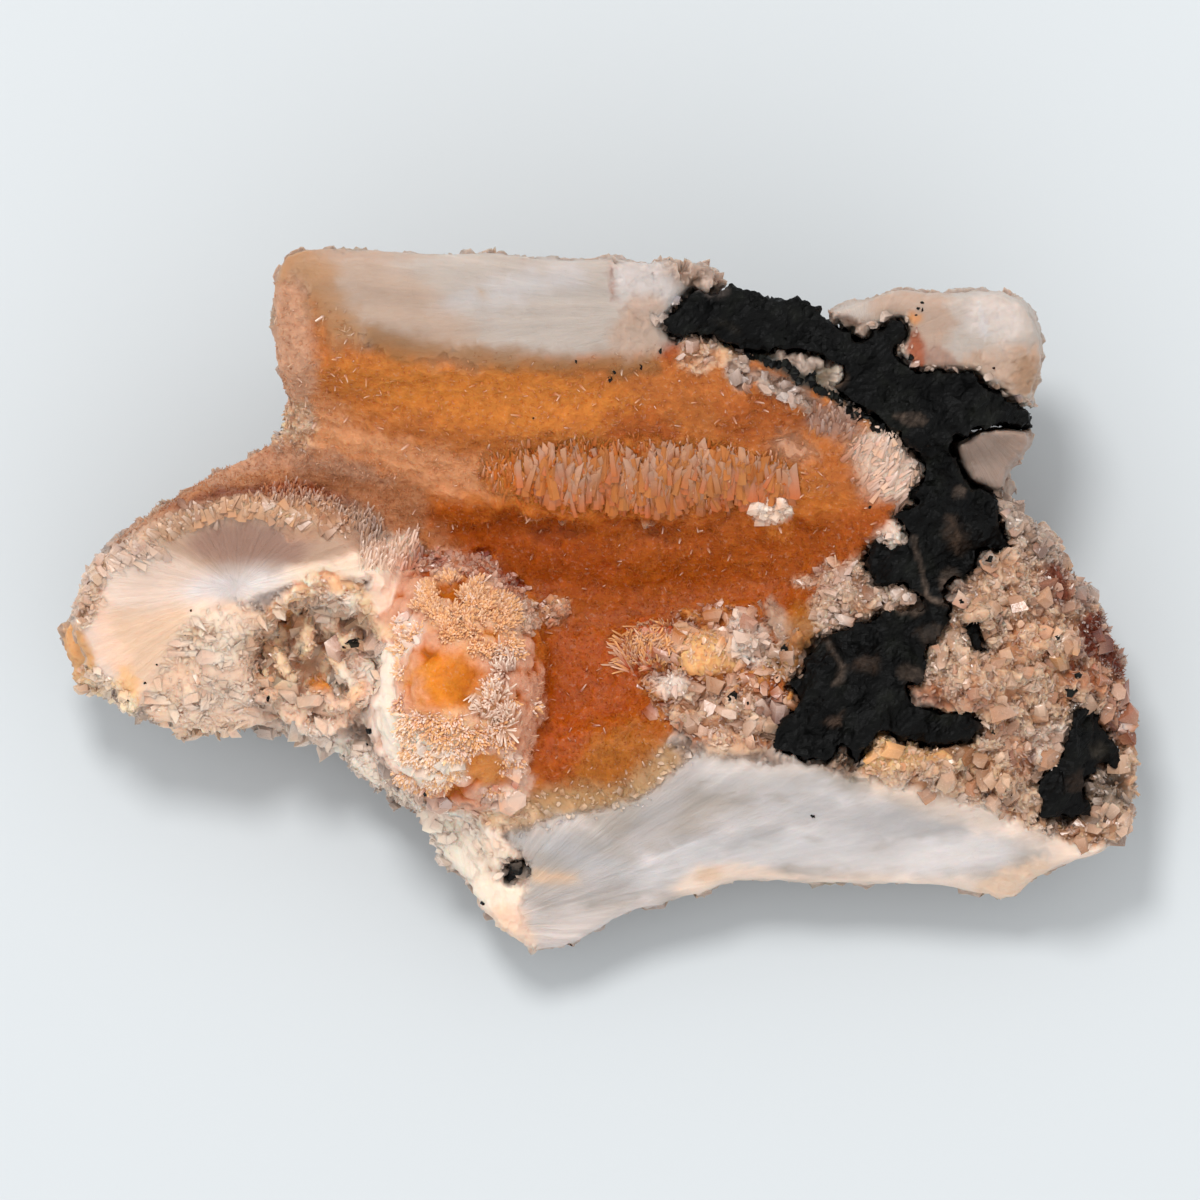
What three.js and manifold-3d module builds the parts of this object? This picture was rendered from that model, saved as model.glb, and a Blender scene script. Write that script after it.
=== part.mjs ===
// A thomsonite specimen: a broken cluster of radiating zeolite growths, lying on its underside.
// One grown mass carries an orange velvet valley between a white broken slab at the back and a white
// silky face at the front, with a broken-open ball on the left, a whole ball beside it and a field of
// blocky pink crystals on the right. A wall of black basalt crosses it from the back edge to the right
// tip and cuts off a white lump, and a branch of the basalt runs down the surface towards the front.
// Millimetres, +Z up, +X right and +Y towards the back as the specimen lies. The origin is under the
// middle of its bounding box, on the surface that it rests on.
import * as THREE from "three";
import { ImprovedNoise } from "three/addons/math/ImprovedNoise.js";
import { mergeVertices } from "three/addons/utils/BufferGeometryUtils.js";
import Module from "manifold-3d";

const wasm = await Module();
wasm.setup();
const { Manifold } = wasm;
const grain = new ImprovedNoise();

// Driving dimensions.
const LENGTH = 90; // along X, left ball to right rim
const WIDTH = 58.6; // along Y, front corner to the back of the slab
const SKY = 45; // a height above everything, where cutters end
const MARGIN = 3; // how far blocks and cutters pass the outline
const GAP = 0.3; // space kept between touching pieces
const RELIEF_GRID = 2.6; // spacing of the grown surface's grid
const BASALT_GRID = 2.1; // spacing of the basalt surface's grid, which is rougher
const WALL_STEPS = 92; // facets round the side wall
const FINEST = 0.1; // features smaller than this are smoothed away

// The plan outline, clockwise from the back left corner: x, y and the height where the side is widest.
const OUTLINE = [
  [-26.9, 27, 31], [-26, 28.7, 32.8], [-24.8, 29.3, 33.4], [-15, 28.9, 33.5], [-7.1, 28.8, 33],
  [-3.3, 28.2, 32.5], [2.7, 28.4, 31.5], [4.6, 27.6, 31], [8.1, 28.1, 29.5], [10.8, 26.6, 28.5],
  [12.4, 25.3, 28], [15.8, 25.3, 27], [19, 24, 26], [25.3, 26, 26], [27.9, 25.5, 25],
  [33.6, 25.7, 24], [35.8, 24.7, 22], [36.8, 22.8, 21], [36.8, 18.5, 18], [35.6, 16.3, 18],
  [36.6, 14.5, 19], [36.1, 13.1, 18], [33.7, 10.4, 16], [33.5, 8.8, 16], [36, 6.8, 16],
  [38.3, 4.4, 15], [39, 2.3, 15], [41, 1, 14], [41.7, -1.3, 14], [43.2, -4.2, 13],
  [44.2, -8, 12.5], [45, -11.5, 12], [44.5, -16.5, 11], [43.2, -20.7, 9], [39.5, -22, 8],
  [37.1, -22.7, 8], [35.6, -24.5, 7], [33.9, -25.2, 7], [31.7, -24.5, 7], [27.5, -23.8, 7],
  [16.4, -23.7, 7], [11.7, -23.3, 7], [8.6, -24.5, 7], [1.6, -26.4, 7], [-0.8, -27.9, 7],
  [-3.6, -29.3, 7], [-6.2, -29.1, 7], [-9, -26.8, 8], [-10.3, -24.9, 8], [-11.8, -22.6, 8],
  [-13.2, -21.8, 8], [-14.2, -18.9, 8], [-17.3, -16.2, 7], [-20.5, -14.3, 7], [-22.4, -12.4, 6],
  [-27.6, -10.4, 6], [-33.5, -11.5, 7], [-37.2, -10.6, 8], [-40.1, -8.3, 9], [-43.3, -6.8, 10],
  [-45, -3.4, 12], [-43.6, -0.5, 14], [-41.9, 3.3, 16], [-38.5, 6.4, 17], [-31.5, 10.8, 18],
  [-27.2, 13.1, 19], [-26.7, 14.6, 22], [-25.8, 16.5, 24], [-26.6, 19.4, 26], [-27, 23.5, 29],
];

// The side wall up to its widest line and just above: share of that line's height, and size in plan.
const WALL_PROFILE = [[0, 0.6], [0.16, 0.74], [0.42, 0.875], [0.72, 0.962], [1, 1], [1.12, 0.99]];
const WALL_LUMPS = { height: 0.06, pitch: 0.2 }; // share of the size in plan, and lumps to a millimetre

// Lines along the relief seen from above, as x, y and height. The surface runs between them.
const RELIEF_LINES = {
  slabBackEdge: [[-25, 28.2, 33.4], [-15, 28.2, 33.6], [-5, 27.8, 33.1], [3.5, 27.2, 31.8]],
  slabMiddle: [[-23.5, 24.2, 32.6], [-13, 23.8, 32.8], [-3, 23.4, 32.2], [4, 23.2, 31.2]],
  slabFrontEdge: [[-24.2, 20.4, 30.8], [-12.5, 19.8, 31.5], [-2, 19.6, 31.2], [5, 20.6, 30]],
  slopeMiddle: [[-25, 16.5, 25.5], [-17, 15.8, 27.2], [-6, 15.6, 28], [6.7, 16.8, 28], [14, 17, 27.4]],
  palisadeTop: [[-25, 12.9, 20.8], [-15, 11.9, 22.8], [-4, 11.2, 23.8], [8, 11.8, 24.3], [19, 12, 25.2]],
  palisadeFoot: [[-22, 8, 18.2], [-14, 6.6, 17.8], [-4, 5.8, 18], [6, 6, 18.7], [15, 6.6, 20.6]],
  valleyFloor: [[-12, 3, 16.2], [-4, 0, 15.4], [4, -0.2, 15.6], [11, 1.4, 16.7], [17, 2.2, 18.6]],
  valleyFront: [[-5, -7, 16.2], [1, -7.2, 17], [8, -5, 18.2]],
  valleyRise: [[-6, -13.5, 18.4], [0, -12.8, 19.2], [6, -11.5, 20.3]],
  shoulder: [[-40.5, 4.4, 16.6], [-34, 8.6, 17.6], [-28, 11.4, 18.8], [-22, 9.4, 18.4]],
  leftFoot: [[-43.5, -2.5, 13.5], [-40, -7, 10.5], [-35, -9.8, 9.5], [-29, -9.6, 8.5]],
  ballBed: [[-37, -1, 15], [-30, 0, 16], [-23.5, 2, 16.5], [-18, 1, 17]],
  pocketFloor: [[-25, -4, 13], [-23, -8, 11], [-26.5, -9.2, 9.5]],
  leftFlank: [[-22, -11.6, 8.5], [-17.3, -14.6, 9.5], [-13.8, -18.6, 10.5], [-10.6, -23.6, 10]],
  middleBed: [[-16, -3, 18], [-14, -10, 17.5], [-9.8, -15.4, 17]],
  frontCrest: [
    [-7.5, -19, 15.2], [0, -17.6, 17.8], [5, -15.2, 20.2], [9, -12.9, 21.6],
    [17, -13.8, 22], [25, -15.4, 20.4], [33, -17.4, 17.4], [41, -19.6, 12.8],
  ],
  frontMiddle: [
    [-5.5, -25, 11.6], [1.7, -21.7, 13.6], [9, -19.2, 15.8], [17, -19, 16], [25, -19.7, 15], [33, -21.2, 12.2],
  ],
  frontFoot: [
    [-4, -28.2, 8.6], [2, -25.8, 9], [9, -23.6, 9], [18, -23.2, 8.8], [26, -23.4, 8.5], [34, -24.6, 7.8],
  ],
  druseWest: [[11.5, -3.6, 19.3], [13.6, -8.5, 21.6], [21, -7, 23], [22, -11.5, 22.6]],
  druseSpine: [[18.5, -1.5, 21], [25, 3.5, 23.6], [27.5, 8.5, 24.3]],
  druseField: [[35, 5, 19], [32, 1.5, 22], [27.5, -3.5, 23], [33, -7, 21.6], [30, -11.5, 21.3]],
  druseRim: [[37.5, -1.5, 18.8], [39.2, -9.5, 17.8], [38.5, -15.8, 15.6]],
  rightEdge: [[40.6, -0.6, 15], [43.4, -8, 13.6], [43.6, -15, 12]],
  wallCrest: [
    [8, 24.2, 30], [13, 21.8, 29], [20.5, 19.3, 28], [26, 16, 27], [31, 14.3, 25.3], [36, 14.6, 21.8],
  ],
  lumpCrest: [[21, 23.4, 26.8], [25.4, 24.8, 27.4], [29, 21, 26.8], [33.6, 23, 27.2], [35.4, 19.3, 24]],
  underTip: [[29, 11.4, 22.4], [33, 10.8, 18.8]],
};
const LINE_SPACING = 1.6; // how densely a relief line is sampled
const RELIEF_SOFTNESS = 1.1; // rounding where lines meet
const NOISE_GAIN = 1.6; // brings the noise up to about one

// Swells and lumps on the relief: centre, reach, height and lumps to a millimetre.
const SWELLS = [
  { place: "pink crystal field", x: 31, y: -3, reach: 15, height: 1.5, pitch: 0.4 },
  { place: "palisade", x: 3, y: 10.5, reach: 13, height: 0.9, pitch: 0.5 },
  { place: "brown shoulder", x: -28, y: 11, reach: 12, height: 0.8, pitch: 0.3 },
  { place: "left flank", x: -19, y: -14, reach: 11, height: 1.3, pitch: 0.36 },
  { place: "front corner", x: -8, y: -22, reach: 9, height: 1, pitch: 0.36 },
  { place: "back lumps", x: 4, y: 25, reach: 5, height: 1.2, pitch: 0.33 },
  { place: "white lump", x: 30, y: 20, reach: 9, height: 1.4, pitch: 0.26 },
];
const BASALT_FACE = { proud: 0.6, height: 1.1, pitch: 0.34 }; // its stand above the growth, and its lumps

// The broken-open ball on the left: its body, the hollow fan broken out of it and its sloping front.
const LEFT_BALL = { x: -30.3, y: -0.6, z: 17, rx: 13.6, ry: 11.2, rz: 11.6 };
const LEFT_FAN = { x: -31.5, y: -6.5, z: 38.5, rx: 20.2, ry: 20.2, rz: 20.2 };
const LEFT_FRONT = { y: -1, z: 19.8, slopeY: 0.62 };
// The whole ball beside it and the broken cream face on its left.
const MIDDLE_BALL = { x: -12.1, y: -6.6, z: 15.2, rx: 7.8, ry: 10.2, rz: 11.4 };
const MIDDLE_FACE = { x: -17.2, z: 23.4, slopeX: 1.25 };
// The hollow between the two balls, and the crust of blades that lines it.
const POCKET = { x: -23.6, y: -6.2, z: 18.2, rx: 6.2, ry: 6.4, rz: 8.4 };
const POCKET_CRUST = { skin: 1.7, rim: 14, blades: 9, length: 5.4, seed: 53 };
// Rounded lumps that stand off the relief: two beads on the left end and the cream tufts in the valley.
const LUMPS = [
  { x: -42.6, y: -3.6, z: 11.6, rx: 2.4, ry: 2.4, rz: 2.4 },
  { x: -42.2, y: -6, z: 10.4, rx: 1.6, ry: 1.5, rz: 1.6 },
  { x: 4.8, y: -4, z: 17.8, rx: 2.7, ry: 2.2, rz: 2.4 },
  { x: 8.4, y: -5.2, z: 18.8, rx: 3.1, ry: 2.6, rz: 2.9 },
  { x: 6.2, y: -7.6, z: 19.4, rx: 2.1, ry: 1.5, rz: 2.3 },
  { x: 7, y: -10.2, z: 19.8, rx: 1.7, ry: 1.4, rz: 1.9 },
];

// The basalt in plan: the wall from the back edge to the right tip, and its branch on the surface.
const BASALT_WALL = [
  [10.9, 32], [10.8, 26], [9.3, 25.3], [7.8, 26], [7, 25], [6.1, 23.9], [5.3, 23], [5.9, 21.8],
  [7.7, 22], [10.2, 21.8], [12.1, 20.4], [13.8, 20.8], [16.6, 20.9], [18, 20.6], [20.3, 19.3],
  [20.4, 18.2], [19.3, 17.8], [21.1, 16.3], [22.8, 15.3], [23.9, 14.3], [25.4, 14], [27.7, 13.4],
  [29, 14], [30.6, 13.3], [31, 14.3], [33.6, 14.5], [35.5, 14.4], [38.4, 14.1], [38.4, 15],
  [35.8, 15.7], [33.6, 17], [32.6, 17.5], [30.8, 19], [27.7, 19], [26.3, 18.9], [25.4, 19.5],
  [24.3, 20.8], [25.6, 22.3], [25.3, 23.3], [24.5, 23.4], [22.2, 21.8], [21.3, 21.5], [20.7, 22.3],
  [19.8, 22.8], [18.4, 24.1], [18.4, 32],
];
const BASALT_BRANCH = [
  [25.4, 15], [25.1, 13.8], [25.4, 12.8], [27.1, 11.5], [26.9, 10], [26, 8.8], [26.9, 7.8],
  [24.8, 7.4], [24.2, 6.8], [25.4, 6.3], [25.9, 4.8], [24.3, 4.3], [22.5, 4.5], [21.9, 3.5],
  [22.5, 1.9], [23, 1.2], [25.6, 1.3], [27.3, -0.2], [26.9, -1], [23.9, -0.7], [22.8, -1.6],
  [19.4, -2.7], [18.3, -3.3], [17.1, -4.8], [16.9, -6.1], [15.5, -6.8], [16.8, -8.3], [14.8, -9.9],
  [14.3, -12.4], [15.9, -12.8], [19, -13.5], [20.2, -11.7], [21.4, -13.8], [22.5, -12],
  [23.5, -10.8], [25.6, -11.8], [29.2, -12.2], [31.3, -11.5], [32.1, -10.4], [30.6, -9.4],
  [28.4, -9.4], [26.8, -9], [25.8, -8.3], [25.4, -6.9], [27, -6.8], [27.2, -4], [28.8, -2.5],
  [29.1, -1], [28.4, 0.8], [29.3, 1.9], [31.3, 2.3], [31.3, 4.3], [33.8, 4.2], [34.3, 4.8],
  [33.3, 6.3], [33.3, 7.9], [32.7, 9.1], [30.8, 9.6], [29.9, 11.2], [29.2, 12.7], [29.6, 14.6],
];
const BASALT_PATCH = [
  [41.3, -8.3], [42, -11], [43.4, -12.4], [43.6, -13.5], [43.3, -14.4], [42.3, -13.7], [41.1, -14.2],
  [40.2, -16.2], [41.1, -17.1], [42, -18.4], [38.8, -18], [36.4, -18.4], [36.9, -17.1],
  [36.5, -15.7], [37.1, -14.2], [38.4, -13.3], [38.9, -11.3], [39.5, -9.7],
];
const RIGHT_CHIP = [[31.2, -1.4], [31.9, -1.5], [31.7, -2.7], [32.4, -4.3], [31.3, -4.5], [30.4, -3]];
const FRONT_CHIP = [[-7.9, -21.7], [-6.6, -21.6], [-6.3, -22.8], [-7, -23.8], [-8, -22.9]];
// Heights where the basalt pieces end inside the growth. The wall goes right through.
const BRANCH_FLOOR = 16.5;
const PATCH_FLOOR = 9;
const RIGHT_CHIP_FLOOR = 18.6;
const FRONT_CHIP_FLOOR = 10.8;

// Every crystal's form: its tip's share of its width, and how steeply its end slants.
const CRYSTAL_TIP = 0.62;
const CRYSTAL_SLANT = 0.45;
// Blocky crystals fused to the growth: the ground that they cover, their count and mean width.
const CRYSTAL_PATCHES = [
  { place: "pink field", x: 33, y: -3.4, rx: 7.4, ry: 9, count: 28, width: 2.8, seed: 3 },
  { place: "field by the front face", x: 31.5, y: -14, rx: 8, ry: 2.2, count: 8, width: 2.3, seed: 11 },
  { place: "outer flank", x: 40, y: 0.4, rx: 2.2, ry: 6, count: 5, width: 2.4, seed: 17 },
  { place: "west of the branch", x: 11.4, y: -8.2, rx: 3, ry: 2.6, count: 5, width: 2, seed: 23 },
  { place: "white druse by the branch", x: 20.4, y: 0.4, rx: 3, ry: 1.4, count: 5, width: 2, seed: 29 },
  { place: "bright cluster in the valley", x: 14.1, y: 7.6, rx: 1.3, ry: 0.8, count: 3, width: 2, seed: 31 },
  { place: "below the wall", x: 15, y: 17.4, rx: 5.6, ry: 1.3, count: 5, width: 2.1, seed: 37 },
  { place: "broken left front", x: -31.4, y: -7, rx: 6, ry: 2.8, count: 8, width: 3, seed: 41 },
  { place: "pale flank", x: -16.6, y: -14.4, rx: 5, ry: 1.6, count: 4, width: 2.6, seed: 43 },
  { place: "front corner", x: -9.6, y: -20, rx: 3, ry: 3, count: 4, width: 2.6, seed: 47 },
];
// Single crystals that stand out: where they stand, width, length, lean from upright and its direction.
const LONE_CRYSTALS = [
  { x: 14.4, y: -1.6, width: 2, length: 5, lean: 0.8, toward: 115 },
  { x: 12.5, y: -4, width: 2.9, length: 5.4, lean: 0.5, toward: 100 },
  { x: 16.2, y: -3.6, width: 1.9, length: 4.4, lean: 0.6, toward: 60 },
  { x: 11.2, y: -8.6, width: 2.6, length: 4, lean: 0.4, toward: 200 },
  { x: -18, y: 1.6, width: 2.3, length: 6, lean: 0.55, toward: 92 },
  { x: -3.6, y: -0.6, width: 2, length: 3.6, lean: 0.3, toward: 40 },
  { x: -7.4, y: -13.6, width: 2.4, length: 3.8, lean: 0.5, toward: 20 },
  { x: -8, y: -16, width: 2.6, length: 4, lean: 0.5, toward: 330 },
  { x: -10.4, y: -16.4, width: 2.2, length: 3.8, lean: 0.5, toward: 250 },
  { x: -13.6, y: -14.4, width: 3, length: 3.6, lean: 0.2, toward: 200 },
];
// Ribs of the palisade, lying on the slope above the valley.
const RIBS = { from: [-12, 8.8], to: [19, 9.2], count: 16, width: 2.6, length: 6.4, lean: 0.7, seed: 5 };

/** Small repeatable random numbers, from 0 to 1. */
function dice(seed) {
  const modulus = 2147483647;
  let state = seed * 7919 + 17;
  return () => {
    state = (state * 48271) % modulus;
    return state / modulus;
  };
}

/** A closed geometry as a solid that can be joined and cut. */
function toSolid(geometry) {
  const bare = geometry.clone();
  for (const name of Object.keys(bare.attributes)) {
    if (name !== "position") bare.deleteAttribute(name);
  }
  const merged = mergeVertices(bare, 1e-4);
  return new Manifold(new wasm.Mesh({
    numProp: 3,
    vertProperties: merged.attributes.position.array,
    triVerts: new Uint32Array(merged.index.array),
  }));
}

/** A solid as a named mesh. */
function toMesh(name, solid, material) {
  const { vertProperties, triVerts } = solid.getMesh();
  const geometry = new THREE.BufferGeometry();
  geometry.setAttribute("position", new THREE.BufferAttribute(new Float32Array(vertProperties), 3));
  geometry.setIndex(new THREE.BufferAttribute(new Uint32Array(triVerts), 1));
  geometry.computeVertexNormals();
  const mesh = new THREE.Mesh(geometry, material);
  mesh.name = name;
  return mesh;
}

/** Moves each vertex of a geometry to the place that a function gives it. */
function reshape(geometry, place) {
  const position = geometry.attributes.position;
  const point = new THREE.Vector3();
  for (let i = 0; i < position.count; i++) {
    point.fromBufferAttribute(position, i);
    place(point, i);
    position.setXYZ(i, point.x, point.y, point.z);
  }
  return geometry;
}

const reliefSamples = Object.values(RELIEF_LINES).flatMap((line) => {
  const curve = new THREE.CatmullRomCurve3(line.map((p) => new THREE.Vector3(...p)), false, "centripetal");
  return curve.getSpacedPoints(Math.ceil(curve.getLength() / LINE_SPACING));
});

/** Height of the grown surface above a point of the plan. */
function reliefHeight(x, y) {
  let sum = 0;
  let weights = 0;
  for (const sample of reliefSamples) {
    const distance2 = (sample.x - x) ** 2 + (sample.y - y) ** 2 + RELIEF_SOFTNESS ** 2;
    sum += sample.z / distance2 ** 2;
    weights += 1 / distance2 ** 2;
  }
  let height = sum / weights;
  for (const swell of SWELLS) {
    const distance = Math.hypot(x - swell.x, y - swell.y) / swell.reach;
    if (distance > 1) continue;
    const lump = grain.noise(x * swell.pitch, y * swell.pitch, swell.reach);
    height += swell.height * (1 - distance ** 2) * NOISE_GAIN * lump;
  }
  return height;
}

/** Height of the basalt's lumpy face above a point of the plan. */
function basaltHeight(x, y) {
  const { proud, height, pitch } = BASALT_FACE;
  const lumps = grain.noise(x * pitch, y * pitch, 0.5) + 0.5 * grain.noise(x * pitch * 2, y * pitch * 2, 7.5);
  return reliefHeight(x, y) + proud + height * lumps;
}

/** Everything below a surface over the plan, as a block wider than the specimen. */
function blockBelow(heightAt, grid) {
  const long = LENGTH + 2 * MARGIN;
  const deep = WIDTH + 2 * MARGIN;
  const block = new THREE.BoxGeometry(long, deep, 2, Math.round(long / grid), Math.round(deep / grid), 1);
  return toSolid(reshape(block, (p) => {
    p.z = p.z > 0 ? heightAt(p.x, p.y) : -2 * MARGIN;
  }));
}

/** The side wall as a closed solid: the outline drawn in towards the base, and straight up above it. */
function sideWall(spread) {
  const line = new THREE.CatmullRomCurve3(OUTLINE.map((p) => new THREE.Vector3(...p)), true, "centripetal");
  const rim = line.getSpacedPoints(WALL_STEPS).reverse();
  const levels = [...WALL_PROFILE].reverse();
  const rows = levels.length + 2;
  const tube = new THREE.SphereGeometry(1, WALL_STEPS, rows);
  return toSolid(reshape(tube, (p, i) => {
    const row = Math.floor(i / (WALL_STEPS + 1));
    const edge = rim[(i % (WALL_STEPS + 1)) % WALL_STEPS];
    if (row === 0 || row === rows) {
      p.set(0, 0, row === 0 ? SKY : -MARGIN);
      return;
    }
    const [share, size] = row === 1 ? [1, levels[0][1]] : levels[row - 2];
    const { height, pitch } = WALL_LUMPS;
    const lump = grain.noise(edge.x * pitch, edge.y * pitch, share * edge.z * pitch);
    const scale = (size + spread) * (1 + height * lump * 2 * Math.max(1 - share, 0));
    p.set(edge.x * scale, edge.y * scale, row === 1 ? SKY - MARGIN : share * edge.z);
  }));
}

/** A lumpy ball, stretched to the given radii. */
function lumpyBall({ x, y, z, rx, ry, rz }, detail, lumps, pitch) {
  const ball = new THREE.IcosahedronGeometry(1, detail);
  return toSolid(reshape(ball, (p) => {
    const swell = 1 + lumps * grain.noise(p.x * pitch + x, p.y * pitch + y, p.z * pitch + z);
    p.set(x + p.x * rx * swell, y + p.y * ry * swell, z + p.z * rz * swell);
  }));
}

/** Everything above a plane through the point (x, y, z) that climbs along x and y. */
function aboveSlope({ x = 0, y = 0, z, slopeX = 0, slopeY = 0 }) {
  const box = new THREE.BoxGeometry(2 * LENGTH, 2 * LENGTH, 2);
  return toSolid(reshape(box, (p) => {
    p.z = p.z > 0 ? 4 * LENGTH : z + slopeX * (p.x - x) + slopeY * (p.y - y);
  }));
}

/** An upright prism over a plan outline, from a given height to the sky, wider by a margin. */
function prism(plan, low, margin = 0) {
  const shape = new THREE.Shape(plan.map(([x, y]) => new THREE.Vector2(x, y)));
  const body = new THREE.ExtrudeGeometry(shape, {
    depth: SKY - low, bevelEnabled: margin > 0, bevelThickness: 0.01, bevelSize: margin, bevelSegments: 1,
  });
  return toSolid(body.translate(0, 0, low));
}

/** A crystal with a slanting end, half sunk at a point and leaning from upright towards an azimuth. */
function crystal({ x, y, z, width, length, sides, lean, toward, roll }) {
  const body = new THREE.CylinderGeometry((width / 2) * CRYSTAL_TIP, width / 2, length, sides, 1);
  reshape(body, (p) => {
    if (p.y > 0) p.y += p.x * CRYSTAL_SLANT;
  });
  body.rotateY(roll).rotateX(Math.PI / 2).rotateY(lean).rotateZ(toward);
  return toSolid(body.translate(x, y, z));
}

/** Blocky crystals strewn over a patch, sunk in the surface. */
function crystalPatch({ x, y, rx, ry, count, width, seed }) {
  const roll = dice(seed);
  const golden = Math.PI * (3 - Math.sqrt(5));
  return Manifold.union(Array.from({ length: count }, (_, i) => {
    const angle = i * golden + 0.8 * roll();
    const reach = Math.sqrt((i + roll()) / count);
    const px = x + rx * reach * Math.cos(angle);
    const py = y + ry * reach * Math.sin(angle);
    const wide = width * (0.7 + 0.7 * roll());
    return crystal({
      x: px,
      y: py,
      z: reliefHeight(px, py) - 0.15 * wide,
      width: wide,
      length: wide * (1.2 + 0.5 * roll()),
      sides: 4 + Math.floor(2.4 * roll()),
      lean: 1.1 * roll(),
      toward: 2 * Math.PI * roll(),
      roll: 2 * Math.PI * roll(),
    });
  }));
}

/** The single crystals that stand out of the surface. */
function loneCrystals() {
  return Manifold.union(LONE_CRYSTALS.map((lone, i) => crystal({
    ...lone,
    z: reliefHeight(lone.x, lone.y) + 0.1 * lone.length,
    sides: 5 + (i % 2),
    toward: THREE.MathUtils.degToRad(lone.toward),
    roll: i,
  })));
}

/** The ribs of the palisade, side by side down the slope. */
function palisade() {
  const { from, to, count, width, length, lean, seed } = RIBS;
  const roll = dice(seed);
  const down = -Math.PI / 2;
  return Manifold.union(Array.from({ length: count }, (_, i) => {
    const t = (i + 0.3 * roll()) / count;
    const x = THREE.MathUtils.lerp(from[0], to[0], t);
    const y = THREE.MathUtils.lerp(from[1], to[1], t) + 1.2 * (roll() - 0.5);
    return crystal({
      x,
      y,
      z: reliefHeight(x, y) - 0.2 * width,
      width: width * (0.8 + 0.5 * roll()),
      length: length * (0.75 + 0.4 * roll()),
      sides: 6,
      lean: Math.PI / 2 + lean * (0.7 + 0.3 * roll()),
      toward: down + 0.35 * (roll() - 0.5),
      roll: roll(),
    });
  }));
}

/** The crust of blades that lines the hollow, kept a gap away from the growth. */
function pocketCrust() {
  const { skin, rim, blades, length, seed } = POCKET_CRUST;
  const roll = dice(seed);
  const { x, y, z, rx, ry, rz } = POCKET;
  const inside = lumpyBall({ x, y, z, rx: rx - GAP, ry: ry - GAP, rz: rz - GAP }, 3, 0.12, 1.5);
  const layer = inside.subtract(inside.translate(0, 0, skin)).trimByPlane([0, 0, -1], -rim);
  const pieces = [layer];
  for (let i = 0; i < blades; i++) {
    const angle = (i / blades) * 2 * Math.PI;
    const reach = 0.3 + 0.45 * roll();
    const blade = new THREE.BoxGeometry(2.6 + 1.2 * roll(), 0.8, length * (0.8 + 0.4 * roll()));
    blade.rotateY(roll() - 0.5).rotateX(1.2 * (roll() - 0.5)).rotateZ(2 * Math.PI * roll());
    const bed = z - rz * Math.sqrt(1 - reach ** 2);
    blade.translate(x + rx * reach * Math.cos(angle), y + ry * reach * Math.sin(angle), bed + 0.3 * length);
    pieces.push(toSolid(blade));
  }
  return Manifold.union(pieces).intersect(inside);
}

/** The pieces of a solid, largest first. */
function bySize(solid) {
  return solid.decompose().sort((a, b) => b.volume() - a.volume());
}

const wall = sideWall(0);
const basaltWall = sideWall(0.004);
const aboveTable = toSolid(new THREE.BoxGeometry(2 * LENGTH, 2 * LENGTH, 2 * SKY).translate(0, 0, SKY));

// The grown mass: the relief, the two balls and the crystals fused to it, inside the side wall.
const leftBall = lumpyBall(LEFT_BALL, 5, 0.05, 1.7)
  .subtract(lumpyBall(LEFT_FAN, 6, 0.015, 4))
  .subtract(aboveSlope(LEFT_FRONT));
const middleBall = lumpyBall(MIDDLE_BALL, 4, 0.09, 1.9).subtract(aboveSlope(MIDDLE_FACE));
const crystals = Manifold.union([...CRYSTAL_PATCHES.map(crystalPatch), loneCrystals(), palisade()]);
const lumps = Manifold.union(LUMPS.map((lump) => lumpyBall(lump, 1, 0.22, 2)));
const growth = Manifold.union([blockBelow(reliefHeight, RELIEF_GRID), leftBall, middleBall, crystals])
  .intersect(wall)
  .add(lumps)
  .subtract(lumpyBall(POCKET, 3, 0.12, 1.5))
  .intersect(aboveTable);

// The basalt, and the room that it takes in the growth.
const basaltBody = blockBelow(basaltHeight, BASALT_GRID).intersect(basaltWall).intersect(aboveTable);
const basaltVein = prism(BASALT_WALL, -MARGIN).add(prism(BASALT_BRANCH, BRANCH_FLOOR)).intersect(basaltBody);
const basaltPatch = prism(BASALT_PATCH, PATCH_FLOOR).intersect(basaltBody);
const rightChip = prism(RIGHT_CHIP, RIGHT_CHIP_FLOOR).intersect(basaltBody);
const frontChip = prism(FRONT_CHIP, FRONT_CHIP_FLOOR).intersect(basaltBody);
const room = Manifold.union([
  prism(BASALT_WALL, -MARGIN, GAP),
  prism(BASALT_BRANCH, BRANCH_FLOOR - GAP, GAP),
  prism(BASALT_PATCH, PATCH_FLOOR - GAP, GAP),
  prism(RIGHT_CHIP, RIGHT_CHIP_FLOOR - GAP, GAP),
  prism(FRONT_CHIP, FRONT_CHIP_FLOOR - GAP, GAP),
]);
const [mass, whiteLump] = bySize(growth.subtract(room)).map((piece) => piece.simplify(FINEST));

// Finishes.
const finish = (color, roughness) => new THREE.MeshStandardMaterial({ color, roughness, metalness: 0 });
const thomsonite = finish(0xc47a48, 0.45);
const whiteThomsonite = finish(0xe4d3c6, 0.5);
const paleCrystal = finish(0xd9b9a2, 0.4);
const basalt = finish(0x151513, 0.7);

const specimen = new THREE.Group();
specimen.name = "thomsonite_specimen";
const solids = [
  ["thomsonite_mass", mass, thomsonite],
  ["white_lump", whiteLump, whiteThomsonite],
  ["pocket_crystals", bySize(pocketCrust())[0].simplify(FINEST), paleCrystal],
  ["basalt_vein", bySize(basaltVein)[0].simplify(FINEST), basalt],
  ["basalt_patch_right", bySize(basaltPatch)[0].simplify(FINEST), basalt],
  ["basalt_chip_right", rightChip.simplify(FINEST), basalt],
  ["basalt_chip_front", frontChip.simplify(FINEST), basalt],
];
for (const [name, solid, material] of solids) specimen.add(toMesh(name, solid, material));

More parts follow.
